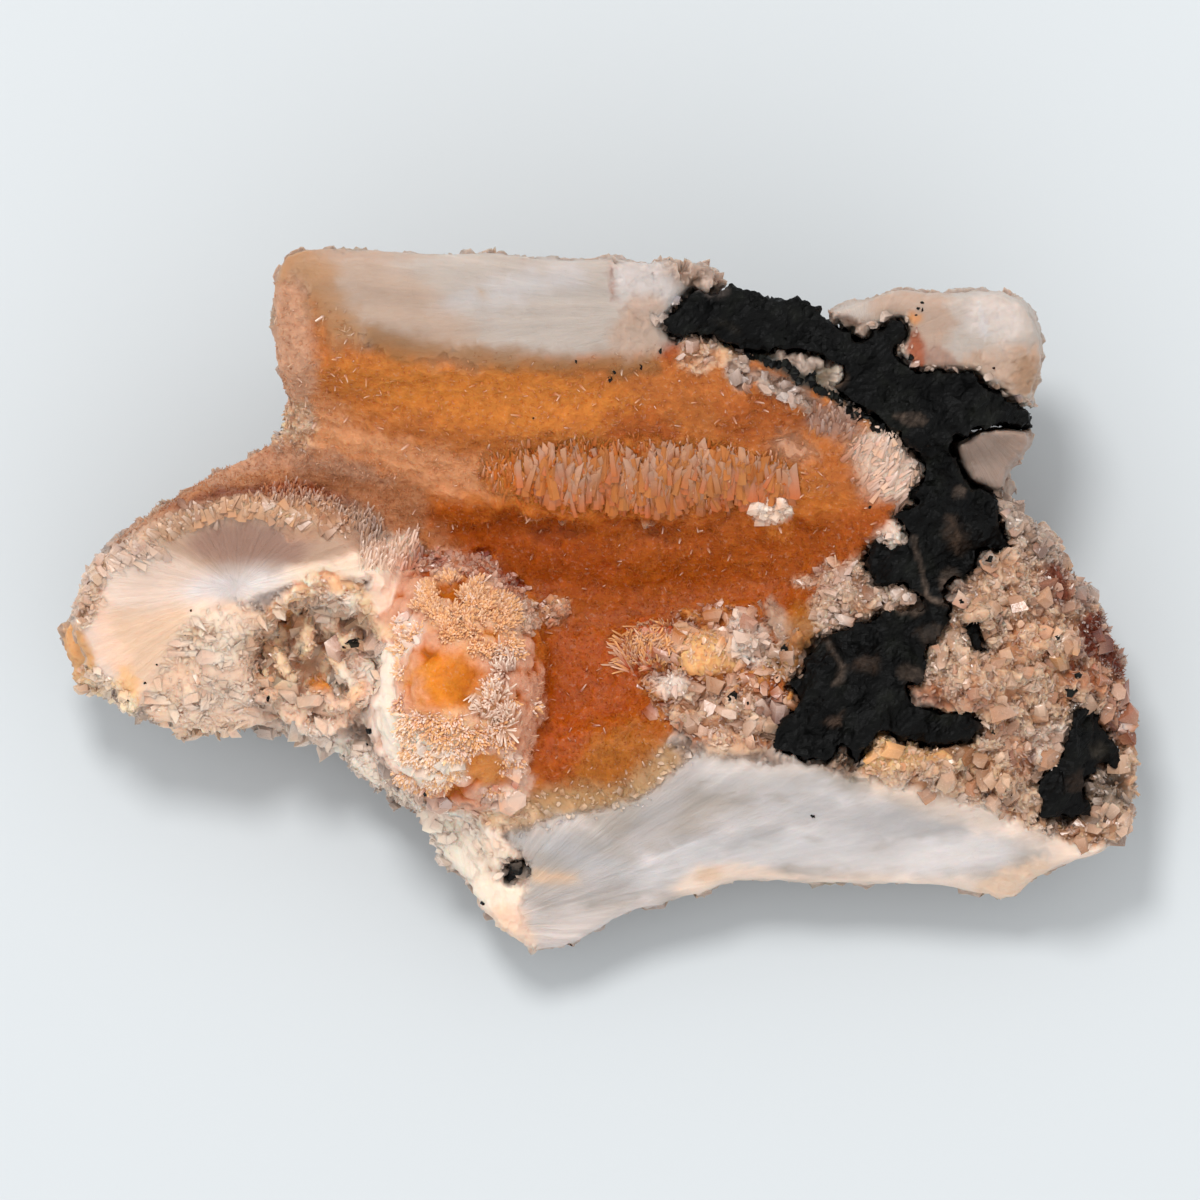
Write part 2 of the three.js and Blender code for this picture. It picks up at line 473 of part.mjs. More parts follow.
// Stands the origin under the middle of the bounding box.
const box = new THREE.Box3().setFromObject(specimen);
const middle = box.getCenter(new THREE.Vector3());
specimen.position.set(-middle.x, -middle.y, -box.min.z);
specimen.updateMatrixWorld(true);

export default specimen;
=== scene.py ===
"""Looks of a thomsonite specimen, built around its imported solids.

The solids give every main form. This script makes a fine copy of each one, carves its texture into it,
paints it by the mineral's own zones (orange velvet, silky broken faces, pink druse, black basalt) and
grows the needles, columns and blocky crystals of each zone on it. Plans and sizes are in millimetres
in the frame of the solids, and meshes are written in metres.
"""

import logging
import math
from dataclasses import dataclass
from enum import Enum
from typing import Sequence

import bmesh
import bpy
import numpy as np
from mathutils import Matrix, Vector, kdtree, noise


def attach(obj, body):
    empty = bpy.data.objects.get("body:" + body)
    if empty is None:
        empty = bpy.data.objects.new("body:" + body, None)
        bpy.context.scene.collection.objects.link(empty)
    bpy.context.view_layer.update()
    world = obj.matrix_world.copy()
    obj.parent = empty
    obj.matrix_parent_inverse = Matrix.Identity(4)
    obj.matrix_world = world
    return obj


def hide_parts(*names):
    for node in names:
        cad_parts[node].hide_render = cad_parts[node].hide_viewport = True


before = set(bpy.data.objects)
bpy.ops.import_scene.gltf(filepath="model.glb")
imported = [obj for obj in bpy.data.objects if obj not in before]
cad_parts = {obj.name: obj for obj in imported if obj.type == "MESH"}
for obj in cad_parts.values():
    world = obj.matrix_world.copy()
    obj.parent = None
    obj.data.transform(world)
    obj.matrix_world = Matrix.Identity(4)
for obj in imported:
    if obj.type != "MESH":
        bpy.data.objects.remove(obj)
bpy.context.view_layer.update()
LOG = logging.getLogger("specimen")
MM = 0.001
TINY = 1e-9
GIRTH_FADE = (-0.25, 0.2)  # upward share of the normal over which the plan's colours set in
EVERYWHERE = (-99.0, -99.0, 99.0, 99.0)  # left, front, right and back of a box round the whole plan
MINERAL_IOR = 1.52
VALUE_KEYS = {"FLOAT": "value", "FLOAT_VECTOR": "vector", "FLOAT_COLOR": "color"}


class Pigment(Enum):
    """Colours of the mineral, as display values of red, green and blue."""

    GROUND = (153, 129, 114)
    EARTH = (137, 108, 87)
    LICHEN = (129, 127, 107)
    SLOPE_ORANGE = (183, 105, 44)
    AMBER = (211, 128, 47)
    RUST = (156, 67, 12)
    PEACH = (221, 155, 109)
    CLIFF_PEACH = (196, 148, 118)
    SLAB_PEACH = (178, 135, 97)
    SLAB_TAN = (148, 106, 66)
    PALISADE = (197, 112, 40)
    PALISADE_TIP = (187, 112, 49)
    SHOULDER = (179, 118, 78)
    FRINGE = (163, 70, 21)
    VALLEY_BROWN = (165, 78, 9)
    VALLEY_DEEP = (160, 69, 3)
    VALLEY_LIGHT = (157, 74, 16)
    VALLEY_ORANGE = (171, 75, 1)
    VALLEY_TAN = (165, 99, 26)
    OLIVE = (188, 147, 103)
    OLIVE_GREY = (254, 223, 200)
    ROSE = (161, 93, 58)
    ROSE_GREY = (200, 155, 123)
    SILK = (184, 171, 161)
    SILK_WARM = (184, 158, 139)
    SILK_SHADE = (199, 193, 192)
    PEARL = (198, 188, 184)
    LILAC = (156, 120, 106)
    HONEY_WHITE = (254, 213, 174)
    PEACH_WHITE = (180, 152, 133)
    PINK_WHITE = (205, 180, 168)
    BLUSH_GREY = (157, 123, 108)
    WHITE_BLUSH = (224, 192, 171)
    HONEY = (221, 141, 60)
    GREY_CLEAR = (121, 108, 101)
    FAN_SHADE = (194, 161, 138)
    FAN_TAN = (208, 161, 122)
    BEIGE = (194, 151, 122)
    SHELL = (234, 209, 192)
    SHELL_PEACH = (228, 190, 157)
    SHELL_ROSE = (254, 211, 185)
    SHELL_WARM = (254, 226, 205)
    SHELL_GOLD = (245, 188, 127)
    BEAD = (217, 160, 107)
    CREAM = (242, 202, 173)
    CREAM_SOLID = (254, 227, 208)
    POCKET = (254, 204, 166)
    MIDDLE_CREAM = (197, 102, 34)
    MIDDLE_ORANGE = (219, 129, 23)
    MIDDLE_DEEP = (182, 98, 12)
    MIDDLE_TAN = (205, 139, 70)
    FROST = (212, 162, 139)
    FLANK = (229, 200, 179)
    TUFT_CREAM = (178, 98, 41)
    TUFT_BLUSH = (199, 77, 16)
    FIELD_PINK = (189, 143, 110)
    TERRACOTTA = (98, 26, 4)
    TIP_GREY = (163, 141, 128)
    WINDOW = (101, 80, 67)
    WINDOW_GREY = (128, 108, 94)
    ROCK_BROWN = (81, 62, 49)
    ROCK_OLIVE = (63, 56, 47)
    BASALT = (9, 9, 8)
    BASALT_GREEN = (24, 25, 20)
    GLINT = (223, 209, 202)
    SNOW = (234, 225, 222)
    FLOOR = (206, 210, 212)

    @property
    def linear(self) -> np.ndarray:
        """The colour in scene-linear values."""
        display = np.array(self.value) / 255.0
        return np.where(display <= 0.04045, display / 12.92, ((display + 0.055) / 1.055) ** 2.4)

    @property
    def rgba(self) -> tuple[float, float, float, float]:
        """The colour as a shader takes it."""
        return (*self.linear.tolist(), 1.0)


class Texture(Enum):
    """What a stretch of the surface feels like, as the column of its mask."""

    PLAIN = 0
    SILK = 1
    VELVET = 2
    DRUSE = 3
    RIBS = 4
    TUFTS = 5


class Lay(Enum):
    """The direction that crystals grow in."""

    OUTWARD = "square to the surface"
    RADIAL = "away from a centre"
    ALONG = "along one direction"
    FLAT_FAN = "along the surface, away from a centre"
    TUMBLED = "any way"


P, T = Pigment, Texture  # short names for the long lists

# The plan of the mineral's zones.


@dataclass(frozen=True)
class Fan:
    """Fibres that spread from a point, so many to the radian, and how strongly they show."""

    centre: tuple[float, float]
    fibres: float = 15.0
    strength: float = 1.0


SLAB_FAN = Fan((12.0, 24.0), 18.0, 0.6)
FRONT_FAN = Fan((-10.5, -27.5), 20.0, 0.85)
LEFT_FAN = Fan((-30.3, 1.0), 18.0, 0.6)
MIDDLE_FAN = Fan((-12.4, -7.2))
LUMP_FAN = Fan((22.0, 21.0), strength=0.35)
TIP_FAN = Fan((28.0, 18.0), strength=0.6)
PALISADE_FAN = Fan((4.0, 130.0), 110.0)
BRISTLE_FAN = Fan((10.0, -40.0), 75.0)


def ring(*flat: float) -> list[tuple[float, float]]:
    """The corners of an outline, from the x and y of each in turn."""
    return list(zip(flat[::2], flat[1::2]))


def oval(x: float, y: float, long: float, short: float, turn: float) -> list[tuple[float, float]]:
    """The outline of an oval.

    Args:
        x: The x of its centre.
        y: The y of its centre.
        long: Half its length.
        short: Half its width.
        turn: The angle of its length from +X, in degrees.

    Returns:
        Its corners.
    """
    cos, sin = math.cos(math.radians(turn)), math.sin(math.radians(turn))
    rays = [(math.cos(a * math.pi / 8), math.sin(a * math.pi / 8)) for a in range(16)]
    return [(x + long * c * cos - short * s * sin, y + long * c * sin + short * s * cos) for c, s in rays]


@dataclass(frozen=True)
class Patch:
    """One zone of the plan: its pigment, its texture and its outline in millimetres.

    feather is the width of its fading edge, ragged how far that edge wanders, and strength its cover.
    fan is what its fibres spread from, if it has any.
    """

    name: str
    pigment: Pigment
    texture: Texture
    feather: float
    ragged: float
    strength: float
    outline: Sequence[tuple[float, float]]
    fan: Fan | None = None


# The zones of the grown mineral. A later one lies over an earlier one.
PLAN = [
    Patch("basin", P.PALISADE, T.VELVET, 1.2, 0.8, 1, ring(-26.5, 26, -20, 21, 4, 21, 12, 20, 20, 17, 25, 13,
          24.5, 4, 20, -1, 7, -3, 6, -11, 0, -16.5, -8, -17, -7, -2, -14, 4, -27, 11)),
    Patch("slope", P.SLOPE_ORANGE, T.VELVET, 1.5, 1.2, 1, ring(-26.7, 26.7, -22.5, 25, -18.3, 20, -12.5, 19.5,
          -3.3, 19.7, 4.2, 20.7, 8.3, 21.7, 13.3, 19.7, 17.5, 17.5, 21.7, 15, 23.8, 12.5, 21.7, 9.2, 13.3,
          8.3, 0, 8.3, -14.2, 9.2, -22.5, 10, -26.4, 12.5)),
    Patch("slope_glow", P.AMBER, T.VELVET, 3, 1.6, 0.7, oval(-9.1, 17.1, 13.3, 2.8, -7)),
    Patch("slope_deep", P.RUST, T.VELVET, 1.6, 1.6, 0.65, oval(3.5, 13.8, 3.3, 1.9, -9)),
    Patch("slope_deep_right", P.RUST, T.VELVET, 2, 1.6, 0.45, oval(13.4, 15.1, 3.5, 2.4, 4)),
    Patch("slope_peach", P.PEACH, T.VELVET, 2.4, 1.4, 0.8, ring(-27.1, 18.1, -24.1, 17.2, -19.4, 14.3, -14.7,
          13, -9.2, 11.5, -7.1, 9.2, -11.3, 8.5, -15.6, 9.2, -19.8, 10.9, -24.1, 11.7, -26.6, 12.6)),
    Patch("cliff", P.CLIFF_PEACH, T.VELVET, 1.4, 0.9, 0.9, oval(-25.6, 22.4, 7.1, 1.8, -83)),
    Patch("cliff_foot", P.SHELL_PEACH, T.DRUSE, 1.2, 0.9, 0.7, oval(-25.5, 14.3, 2.5, 1.8, 88)),
    Patch("palisade", P.PALISADE, T.RIBS, 1.6, 1.2, 1, oval(3.2, 10.4, 13.3, 2.8, -1), PALISADE_FAN),
    Patch("palisade_light", P.PALISADE_TIP, T.RIBS, 1.4, 1.4, 0.75, oval(5.3, 10.5, 7.2, 1.7, 1),
          PALISADE_FAN),
    Patch("palisade_heart", P.PALISADE_TIP, T.RIBS, 1.4, 1.4, 0.3, oval(4.6, 10.2, 11.6, 2, -1),
          PALISADE_FAN),
    Patch("palisade_right", P.FAN_SHADE, T.RIBS, 1.6, 1.2, 0.5, oval(16, 12.7, 2, 1.3, -21), PALISADE_FAN),
    Patch("vein_apron", P.BLUSH_GREY, T.PLAIN, 1.2, 0.9, 0.8, oval(19.7, 15.1, 2.3, 1.4, -11)),
    Patch("vein_bristle", P.WHITE_BLUSH, T.RIBS, 1.6, 1.1, 0.95, oval(23.7, 11.1, 3.5, 2.8, -74),
          BRISTLE_FAN),
    Patch("vein_below", P.TUFT_CREAM, T.VELVET, 1.6, 1.2, 0.7, oval(21.7, 8.7, 4, 1.3, -51)),
    Patch("crumbs_a", P.ROSE_GREY, T.DRUSE, 0.8, 0.9, 0.9, oval(8, 20.4, 1.7, 1.3, -26)),
    Patch("crumbs_b", P.GROUND, T.DRUSE, 0.6, 0.6, 0.9, oval(11.6, 18.9, 1.6, 1, -61)),
    Patch("crumbs_c", P.GROUND, T.DRUSE, 0.8, 0.9, 0.9, oval(15.3, 17.4, 2.9, 0.8, -24)),
    Patch("crumbs_d", P.HONEY_WHITE, T.PLAIN, 0.8, 0.7, 0.6, oval(10.5, 20.8, 1, 0.8, 39)),
    Patch("root_orange", P.RUST, T.VELVET, 0.8, 0.7, 0.8, oval(5.9, 21, 1.1, 0.9, 63)),
    Patch("valley", P.VALLEY_BROWN, T.VELVET, 1.6, 1.2, 1, ring(-18.3, 9.5, -12.5, 7.9, -3.3, 7, 4.2, 6.8,
          13.3, 6.7, 20.8, 7, 25, 8.3, 24.2, 5, 21.7, 1.7, 19.2, -0.3, 15, -1, 8.3, -2.5, 5, -4.2, 4.2, -7.5,
          5.4, -11.2, 3.3, -14.2, 0, -15.8, -5, -15, -7.1, -11.7, -6.2, -8.3, -5, -4.2, -5, -0.4, -8.3, 2.5,
          -13.3, 4.2, -17.5, 6.7)),
    Patch("valley_left", P.SHOULDER, T.VELVET, 1.6, 1.2, 0.7, ring(-20.6, 7.8, -17.4, 8.2, -13.1, 6.3, -11.8,
          4.8, -14, 4, -17.4, 6.3, -19.9, 6.3)),
    Patch("valley_deep", P.VALLEY_DEEP, T.VELVET, 2.2, 1.6, 0.8, oval(-4.5, 3.5, 6.9, 3, -13)),
    Patch("valley_back", P.VALLEY_LIGHT, T.VELVET, 2, 1.6, 0.5, oval(7.6, 6.5, 4.8, 1.9, 4)),
    Patch("valley_right", P.VALLEY_LIGHT, T.VELVET, 1.8, 1.5, 0.55, oval(19.5, 5.4, 2.9, 2.2, -26)),
    Patch("valley_front", P.VALLEY_ORANGE, T.VELVET, 2.4, 1.4, 0.9, oval(-0.8, -9.5, 6.8, 5.9, 77)),
    Patch("valley_foot", P.VALLEY_TAN, T.VELVET, 2.4, 1.4, 0.75, oval(1.2, -13.6, 4.7, 3, 35)),
    Patch("valley_blush", P.SHOULDER, T.VELVET, 1.2, 1, 0.6, oval(-6.8, -6.7, 3.3, 1.3, -86)),
    Patch("valley_rim", P.OLIVE, T.PLAIN, 1.6, 1, 0.85, ring(-7.3, -16.7, -3.3, -15.4, 1.7, -15.4, 5.7, -12.1,
          7.7, -13.2, 3.8, -17.1, -2.1, -18.2, -7.1, -19.8)),
    Patch("valley_rim_gold", P.HONEY_WHITE, T.PLAIN, 1.2, 0.9, 0.8, oval(-8.3, -18.3, 3.1, 1, 13)),
    Patch("rim_amber", P.HONEY, T.PLAIN, 0.9, 0.7, 0.55, oval(-9.6, -18.8, 1, 0.8, 69)),
    Patch("cluster", P.SHELL_WARM, T.DRUSE, 0.4, 0.6, 0.95, oval(14.2, 7.5, 1.7, 1.1, -2)),
    Patch("cluster_stem", P.AMBER, T.VELVET, 0.8, 0.6, 0.55, oval(14.9, 5.8, 1, 0.8, -17)),
    Patch("shoulder", P.SHOULDER, T.VELVET, 1.4, 1, 1, ring(-42.5, 3.3, -39.2, 5.8, -36.2, 8.3, -32.6, 10.7,
          -28.2, 13.3, -25, 12.7, -20, 11.5, -14.2, 9.2, -14.2, 5.8, -21.2, 6.7, -29.2, 8.3, -35, 7.1)),
    Patch("shoulder_light", P.CLIFF_PEACH, T.VELVET, 1.4, 1.1, 0.75, ring(-33.1, 9.9, -30.1, 11.8, -26.7,
          13.1, -21.6, 12.1, -17.4, 9.9, -21.6, 9.9, -25.9, 11, -28.8, 10.6, -31.4, 9.3)),
    Patch("shoulder_groove", P.TERRACOTTA, T.VELVET, 1.2, 0.9, 0.8, ring(-36.1, 7.6, -31.8, 9.3, -28, 9.7,
          -23.7, 9.7, -20.3, 7.8, -19.9, 6.3, -23.7, 8.2, -28, 8.4, -32.2, 8.2, -35, 7.2)),
    Patch("fringe", P.FRINGE, T.VELVET, 0.8, 0.9, 0.8, ring(-29.7, 8.2, -26.7, 9.5, -23.7, 9.3, -20.6, 7.8,
          -18.4, 6.3, -19.5, 5.3, -22.5, 7.4, -25.9, 8)),
    Patch("ball_front", P.SHELL, T.SILK, 0.8, 0.7, 1, oval(-38.1, -2.5, 6.7, 5.9, 55), LEFT_FAN),
    Patch("ball_front_peach", P.SHELL_PEACH, T.SILK, 2, 1.2, 0.75, ring(-41.2, -0.7, -36.5, -0.3, -30.1, 0.6,
          -30.5, -1.5, -34.8, -3.2, -36.1, -5.8, -38.6, -6.9, -40.7, -4.9), LEFT_FAN),
    Patch("ball_front_rose", P.SHELL_ROSE, T.SILK, 1.2, 0.9, 0.7, ring(-42.2, 1.4, -40.7, 0.6, -40.7, -2.8,
          -39, -4.9, -40.3, -5.8, -42, -4.1, -42.7, -1.5), LEFT_FAN),
    Patch("ball_streak", P.SHELL_GOLD, T.PLAIN, 0.8, 0.6, 0.8, oval(-39.2, -7.2, 1.7, 0.9, -76)),
    Patch("ball_fan", P.FAN_SHADE, T.SILK, 1.4, 0.6, 1, oval(-28.9, 4.8, 11.1, 3.6, 5), LEFT_FAN),
    Patch("ball_fan_lilac", P.LILAC, T.SILK, 2.2, 0.8, 0.75, oval(-29.2, 4.7, 5.3, 2.1, 0), LEFT_FAN),
    Patch("ball_fan_tan", P.FAN_TAN, T.SILK, 1.2, 0.8, 0.85, ring(-38.2, 4.8, -35.6, 7, -31.8, 8, -28.8, 8.4,
          -25.9, 7.8, -22, 7.4, -21, 5.7, -23.7, 6.3, -26.7, 6.7, -30.1, 7.2, -33.1, 6.5, -35.6, 5.3),
          LEFT_FAN),
    Patch("ball_fan_beige", P.BEIGE, T.PLAIN, 0.6, 0.5, 0.8, oval(-23.8, 5.9, 2.6, 1, 9)),
    Patch("ball_west", P.SHELL, T.SILK, 1.6, 0.8, 0.9, oval(-37.2, 1.8, 5.3, 2.2, -2), LEFT_FAN),
    Patch("ball_west_rim", P.WHITE_BLUSH, T.SILK, 1.2, 0.7, 0.7, oval(-38.8, 3.8, 2.4, 1, 23), LEFT_FAN),
    Patch("ball_ledge", P.OLIVE_GREY, T.SILK, 0.6, 0.4, 1, ring(-31.2, 0.7, -30, 1.5, -25, 2.8, -20, 4, -15.4,
          5.8, -14.6, 3.3, -16.7, 2.2, -22.5, 1.7, -27.5, 0.7, -29.6, -0.3), LEFT_FAN),
    Patch("ball_heart", P.SNOW, T.SILK, 2.6, 0.5, 0.85, oval(-30.4, 1.2, 4.4, 1.5, 8), LEFT_FAN),
    Patch("ball_crust", P.ROSE_GREY, T.DRUSE, 0.6, 0.6, 0.9, oval(-42.5, 1.4, 3.8, 1.1, 82)),
    Patch("bead", P.BEAD, T.PLAIN, 0.5, 0.3, 1, oval(-43.9, -4.2, 3.1, 1.5, -66)),
    Patch("ball_foot", P.HONEY_WHITE, T.DRUSE, 0.9, 0.8, 0.8, oval(-40.8, -8.3, 3.5, 1.3, -42)),
    Patch("ball_blocks", P.CREAM, T.PLAIN, 1.2, 1, 1, oval(-32.3, -6.8, 7.2, 4.5, 60)),
    Patch("ball_blocks_white", P.OLIVE_GREY, T.PLAIN, 1.4, 1, 0.7, oval(-32.3, -2.8, 3, 2.3, -59)),
    Patch("ball_blocks_gold", P.SHELL_PEACH, T.DRUSE, 0.8, 0.7, 0.6, oval(-33.4, -2.8, 1.6, 0.7, 2)),
    Patch("ball_blocks_grey", P.FLANK, T.PLAIN, 1.4, 1, 0.6, oval(-31.6, -7.8, 3.9, 2, 28)),
    Patch("pocket", P.POCKET, T.DRUSE, 1, 0.8, 1, oval(-23.4, -4.5, 6.9, 5.1, 77)),
    Patch("pocket_pink", P.SHELL_ROSE, T.DRUSE, 1, 0.8, 0.85, oval(-22, -0.8, 2.9, 1.8, -47)),
    Patch("pocket_rock", P.MIDDLE_TAN, T.PLAIN, 0.5, 0.4, 0.8, oval(-25.7, -1.7, 1, 0.8, -75)),
    Patch("pocket_hollow", P.VALLEY_BROWN, T.PLAIN, 0.5, 0.3, 0.9, oval(-22.6, -3.9, 1.3, 0.5, -33)),
    Patch("pocket_gold", P.MIDDLE_ORANGE, T.PLAIN, 0.5, 0.4, 0.9, oval(-23.4, -7.1, 1.1, 0.9, 4)),
    Patch("pocket_white", P.CREAM_SOLID, T.PLAIN, 0.8, 0.7, 0.85, oval(-20.4, -5.9, 1.7, 1.4, 40)),
    Patch("pocket_ledge", P.BEAD, T.PLAIN, 0.6, 0.4, 0.7, oval(-21.8, 1.2, 2, 0.5, -1)),
    Patch("flank", P.CREAM_SOLID, T.PLAIN, 1.2, 1, 1, ring(-35.8, -12.1, -30, -11.2, -25.8, -10.4, -20.8,
          -11.2, -19, -12.1, -16.7, -15.8, -13.3, -17.7, -12.5, -20.8, -13.3, -22.5, -18.3, -16.7, -25, -13.8,
          -31.2, -13.3)),
    Patch("flank_pink", P.WHITE_BLUSH, T.PLAIN, 1.4, 1, 0.6, oval(-24.9, -9.2, 5.2, 1.9, -2)),
    Patch("flank_olive", P.OLIVE_GREY, T.PLAIN, 1, 0.8, 0.65, oval(-17.7, -15.5, 3.4, 0.9, -29)),
    Patch("corner", P.SHELL_WARM, T.PLAIN, 1, 0.9, 1, oval(-8.9, -23.5, 8.6, 3, -54)),
    Patch("corner_white", P.CREAM_SOLID, T.PLAIN, 0.5, 0.5, 0.85, oval(-13.6, -17.5, 1.2, 0.9, -37)),
    Patch("corner_grey", P.CREAM_SOLID, T.DRUSE, 0.8, 0.7, 0.7, oval(-11.7, -18.4, 1.6, 1, -33)),
    Patch("corner_pink", P.CREAM_SOLID, T.SILK, 0.9, 0.6, 0.85, oval(-12.3, -21.2, 2.8, 1.2, -46), FRONT_FAN),
    Patch("corner_cream", P.SHELL_ROSE, T.PLAIN, 0.9, 0.8, 0.7, oval(-8.1, -21.8, 2.8, 1.3, -39)),
    Patch("front_face", P.SILK, T.SILK, 1, 0.6, 1, ring(-7.9, -19.6, -3.3, -18, 1.7, -17.1, 5, -15.7, 8.3,
          -12.5, 13.3, -13.5, 16.7, -13.8, 21.7, -14.8, 26.7, -15.8, 32.1, -17.3, 36.7, -19.7, 42.5, -20.2,
          45, -18.8, 42.1, -21.8, 37.5, -22.9, 33.9, -26, 27.5, -24.6, 16.7, -24.6, 9.2, -25.4, 1.7, -27.3,
          -3.6, -30.2, -5.4, -29.2, -6.7, -27.1, -6.2, -24.2, -5.8, -21.7), FRONT_FAN),
    Patch("front_shade", P.SILK_SHADE, T.SILK, 2.6, 1.4, 0.75, ring(-6.9, -19.8, -3.1, -19.1, 0.3, -20.2, 2,
          -21.5, 6.3, -20, 10.5, -17.7, 16.9, -15.5, 25.4, -17, 33.9, -18.5, 38.1, -20.6, 27.5, -20, 16.9,
          -20.6, 10.5, -21.9, 4.1, -23.6, -0.1, -23.6, -3.9, -21.9), FRONT_FAN),
    Patch("front_lilac", P.PEARL, T.SILK, 2, 1.2, 0.6, ring(-5.6, -24, -0.1, -23.2, 6.3, -21.9, 12.6, -21.1,
          10.5, -21.9, 6.3, -23.2, 5.4, -24.5, 2, -25.5, -3.1, -25.7, -5.9, -25.3), FRONT_FAN),
    Patch("front_bright", P.SNOW, T.SILK, 2, 1.4, 0.75, ring(4, -21.4, 9, -20.4, 16.7, -19.4, 25, -19.8, 34,
          -19.4, 34.6, -22.6, 25, -23.3, 16, -22.6, 9, -22.6, 2, -24.6), FRONT_FAN),
    Patch("front_bright_top", P.SNOW, T.SILK, 1.6, 1.2, 0.5, ring(8, -13.3, 13, -13.6, 20, -15.4, 24, -16.8,
          15, -16.4, 8.6, -15.6), FRONT_FAN),
    Patch("front_notch", P.PEARL, T.SILK, 1.2, 0.6, 0.7, oval(5.2, -17.2, 5.4, 1.4, 53), FRONT_FAN),
    Patch("front_hook", P.GLINT, T.SILK, 0.9, 0.4, 0.5, ring(-5.6, -18.5, -3.5, -17.7, -1.8, -17.9, -0.1,
          -19.1, 0.3, -20, -1.8, -18.7, -3.9, -19.1, -5.6, -19.6), FRONT_FAN),
    Patch("front_blush", P.GLINT, T.SILK, 1.4, 0.9, 0.85, ring(-6.1, -25.7, -2.2, -25.3, 2, -25.7, 5.2, -24.9,
          5.8, -24.5, 5, -25.3, -0.1, -27.9, -3.1, -29.6, -6.1, -29.1, -6.9, -27.4), FRONT_FAN),
    Patch("front_corner_tan", P.CREAM, T.PLAIN, 1, 0.8, 0.7, oval(-7.1, -27.4, 2.5, 1.2, -45)),
    Patch("front_stain", P.SHELL_PEACH, T.SILK, 0.8, 0.6, 0.8, oval(-3.9, -23.1, 1.9, 0.6, -1), FRONT_FAN),
    Patch("front_foot", P.SHELL_WARM, T.SILK, 0.8, 0.7, 0.8, ring(6.3, -23.6, 8, -22.3, 10.9, -21.9, 16.9,
          -22.8, 16.9, -23.6, 12.6, -23.4, 9.4, -24.5, 6.5, -24.7), FRONT_FAN),
    Patch("front_foot_amber", P.SHELL_PEACH, T.SILK, 0.8, 0.5, 0.7, oval(9.1, -22.9, 0.9, 0.6, 3), FRONT_FAN),
    Patch("front_foot_mid", P.SHELL_WARM, T.SILK, 1, 0.9, 0.6, ring(16.7, -23.3, 21.7, -22.7, 28.3, -23.3,
          34.2, -22.5, 38.3, -20.8, 43.3, -20.4, 37.5, -23.3, 33.9, -26, 27.5, -25, 16.7, -25), FRONT_FAN),
    Patch("front_foot_right", P.SHELL_PEACH, T.PLAIN, 0.9, 0.7, 0.6, oval(34.5, -23.6, 3.4, 1.5, 21)),
    Patch("front_rim_warm", P.SHELL_WARM, T.SILK, 1.4, 1, 0.55, oval(31.5, -17.8, 11.7, 1.3, -18), FRONT_FAN),
    Patch("front_rim_gold", P.SHELL_GOLD, T.PLAIN, 1.6, 0.9, 0.6, oval(28.2, -14.1, 4, 0.9, -25)),
    Patch("tufts", P.TUFT_CREAM, T.DRUSE, 0.9, 1, 1, oval(10.5, -6.5, 7.4, 5.9, -15)),
    Patch("tuft_fan", P.TUFT_BLUSH, T.VELVET, 0.8, 1, 0.9, oval(3.8, -3.9, 2.6, 1.7, 29)),
    Patch("tuft_gold", P.SHELL_GOLD, T.PLAIN, 1.2, 0.9, 0.8, oval(8.8, -4.5, 2.7, 2, -18)),
    Patch("tuft_white", P.WHITE_BLUSH, T.DRUSE, 0.7, 0.8, 0.9, oval(12.6, -3.3, 2.4, 1.6, -67)),
    Patch("tuft_blades", P.FAN_SHADE, T.PLAIN, 0.6, 0.4, 0.9, ring(13.4, -0.3, 14.2, 0.1, 15.6, -1.4, 17.1,
          -3.3, 16.9, -5.2, 15.5, -6.5, 15, -4.9, 14.5, -3)),
    Patch("tuft_amber", P.SLAB_TAN, T.DRUSE, 0.6, 0.5, 0.8, oval(14.7, -5.2, 1.3, 0.8, -73)),
    Patch("tuft_round", P.SHELL, T.PLAIN, 0.5, 0.4, 0.9, oval(6.2, -7.1, 1.7, 1.1, -25)),
    Patch("tuft_plates", P.ROSE_GREY, T.DRUSE, 1, 1, 0.8, oval(10.8, -9.5, 5, 2.5, -5)),
    Patch("tuft_rust", P.TERRACOTTA, T.DRUSE, 0.7, 0.6, 0.7, oval(14.4, -8.8, 1.1, 0.8, -6)),
    Patch("tuft_foot", P.SHELL_PEACH, T.PLAIN, 0.8, 0.8, 0.7, ring(8.8, -11.3, 12.6, -12.2, 14.2, -12.5, 11,
          -13, 8.9, -12.7)),
    Patch("east_druse", P.BEIGE, T.DRUSE, 1, 1.1, 0.95, oval(22.1, 0.3, 5.2, 3.1, 27)),
    Patch("east_branch", P.CLIFF_PEACH, T.DRUSE, 0.7, 0.8, 0.9, ring(16.1, 1.5, 18, 2.4, 19.5, 3.6, 20.1, 2.9,
          19, 1.3, 17.4, 1)),
    Patch("east_amber", P.VALLEY_TAN, T.VELVET, 0.8, 0.8, 0.8, oval(16.6, -3.1, 2.7, 1.1, 85)),
    Patch("east_pool", P.WHITE_BLUSH, T.DRUSE, 0.7, 0.7, 0.9, ring(23, 5.4, 24.7, 6.9, 25.9, 5.9, 26.2, 4,
          24.3, 4.2, 22.8, 4.6)),
    Patch("field", P.FIELD_PINK, T.DRUSE, 0.9, 1, 1, ring(32.1, 8.8, 37.5, 5.8, 41.7, 1.2, 44.2, -7.5, 45.4,
          -13.3, 44.6, -19.6, 40.8, -20.7, 36.7, -19.2, 32.1, -16.9, 25, -15.4, 20.8, -14.3, 21.7, -11.2,
          29.2, -12.5, 32.1, -11.2, 30, -9, 25.4, -6.9, 27.2, -5, 29, -1.7, 31.2, 2.3, 34.3, 4.6)),
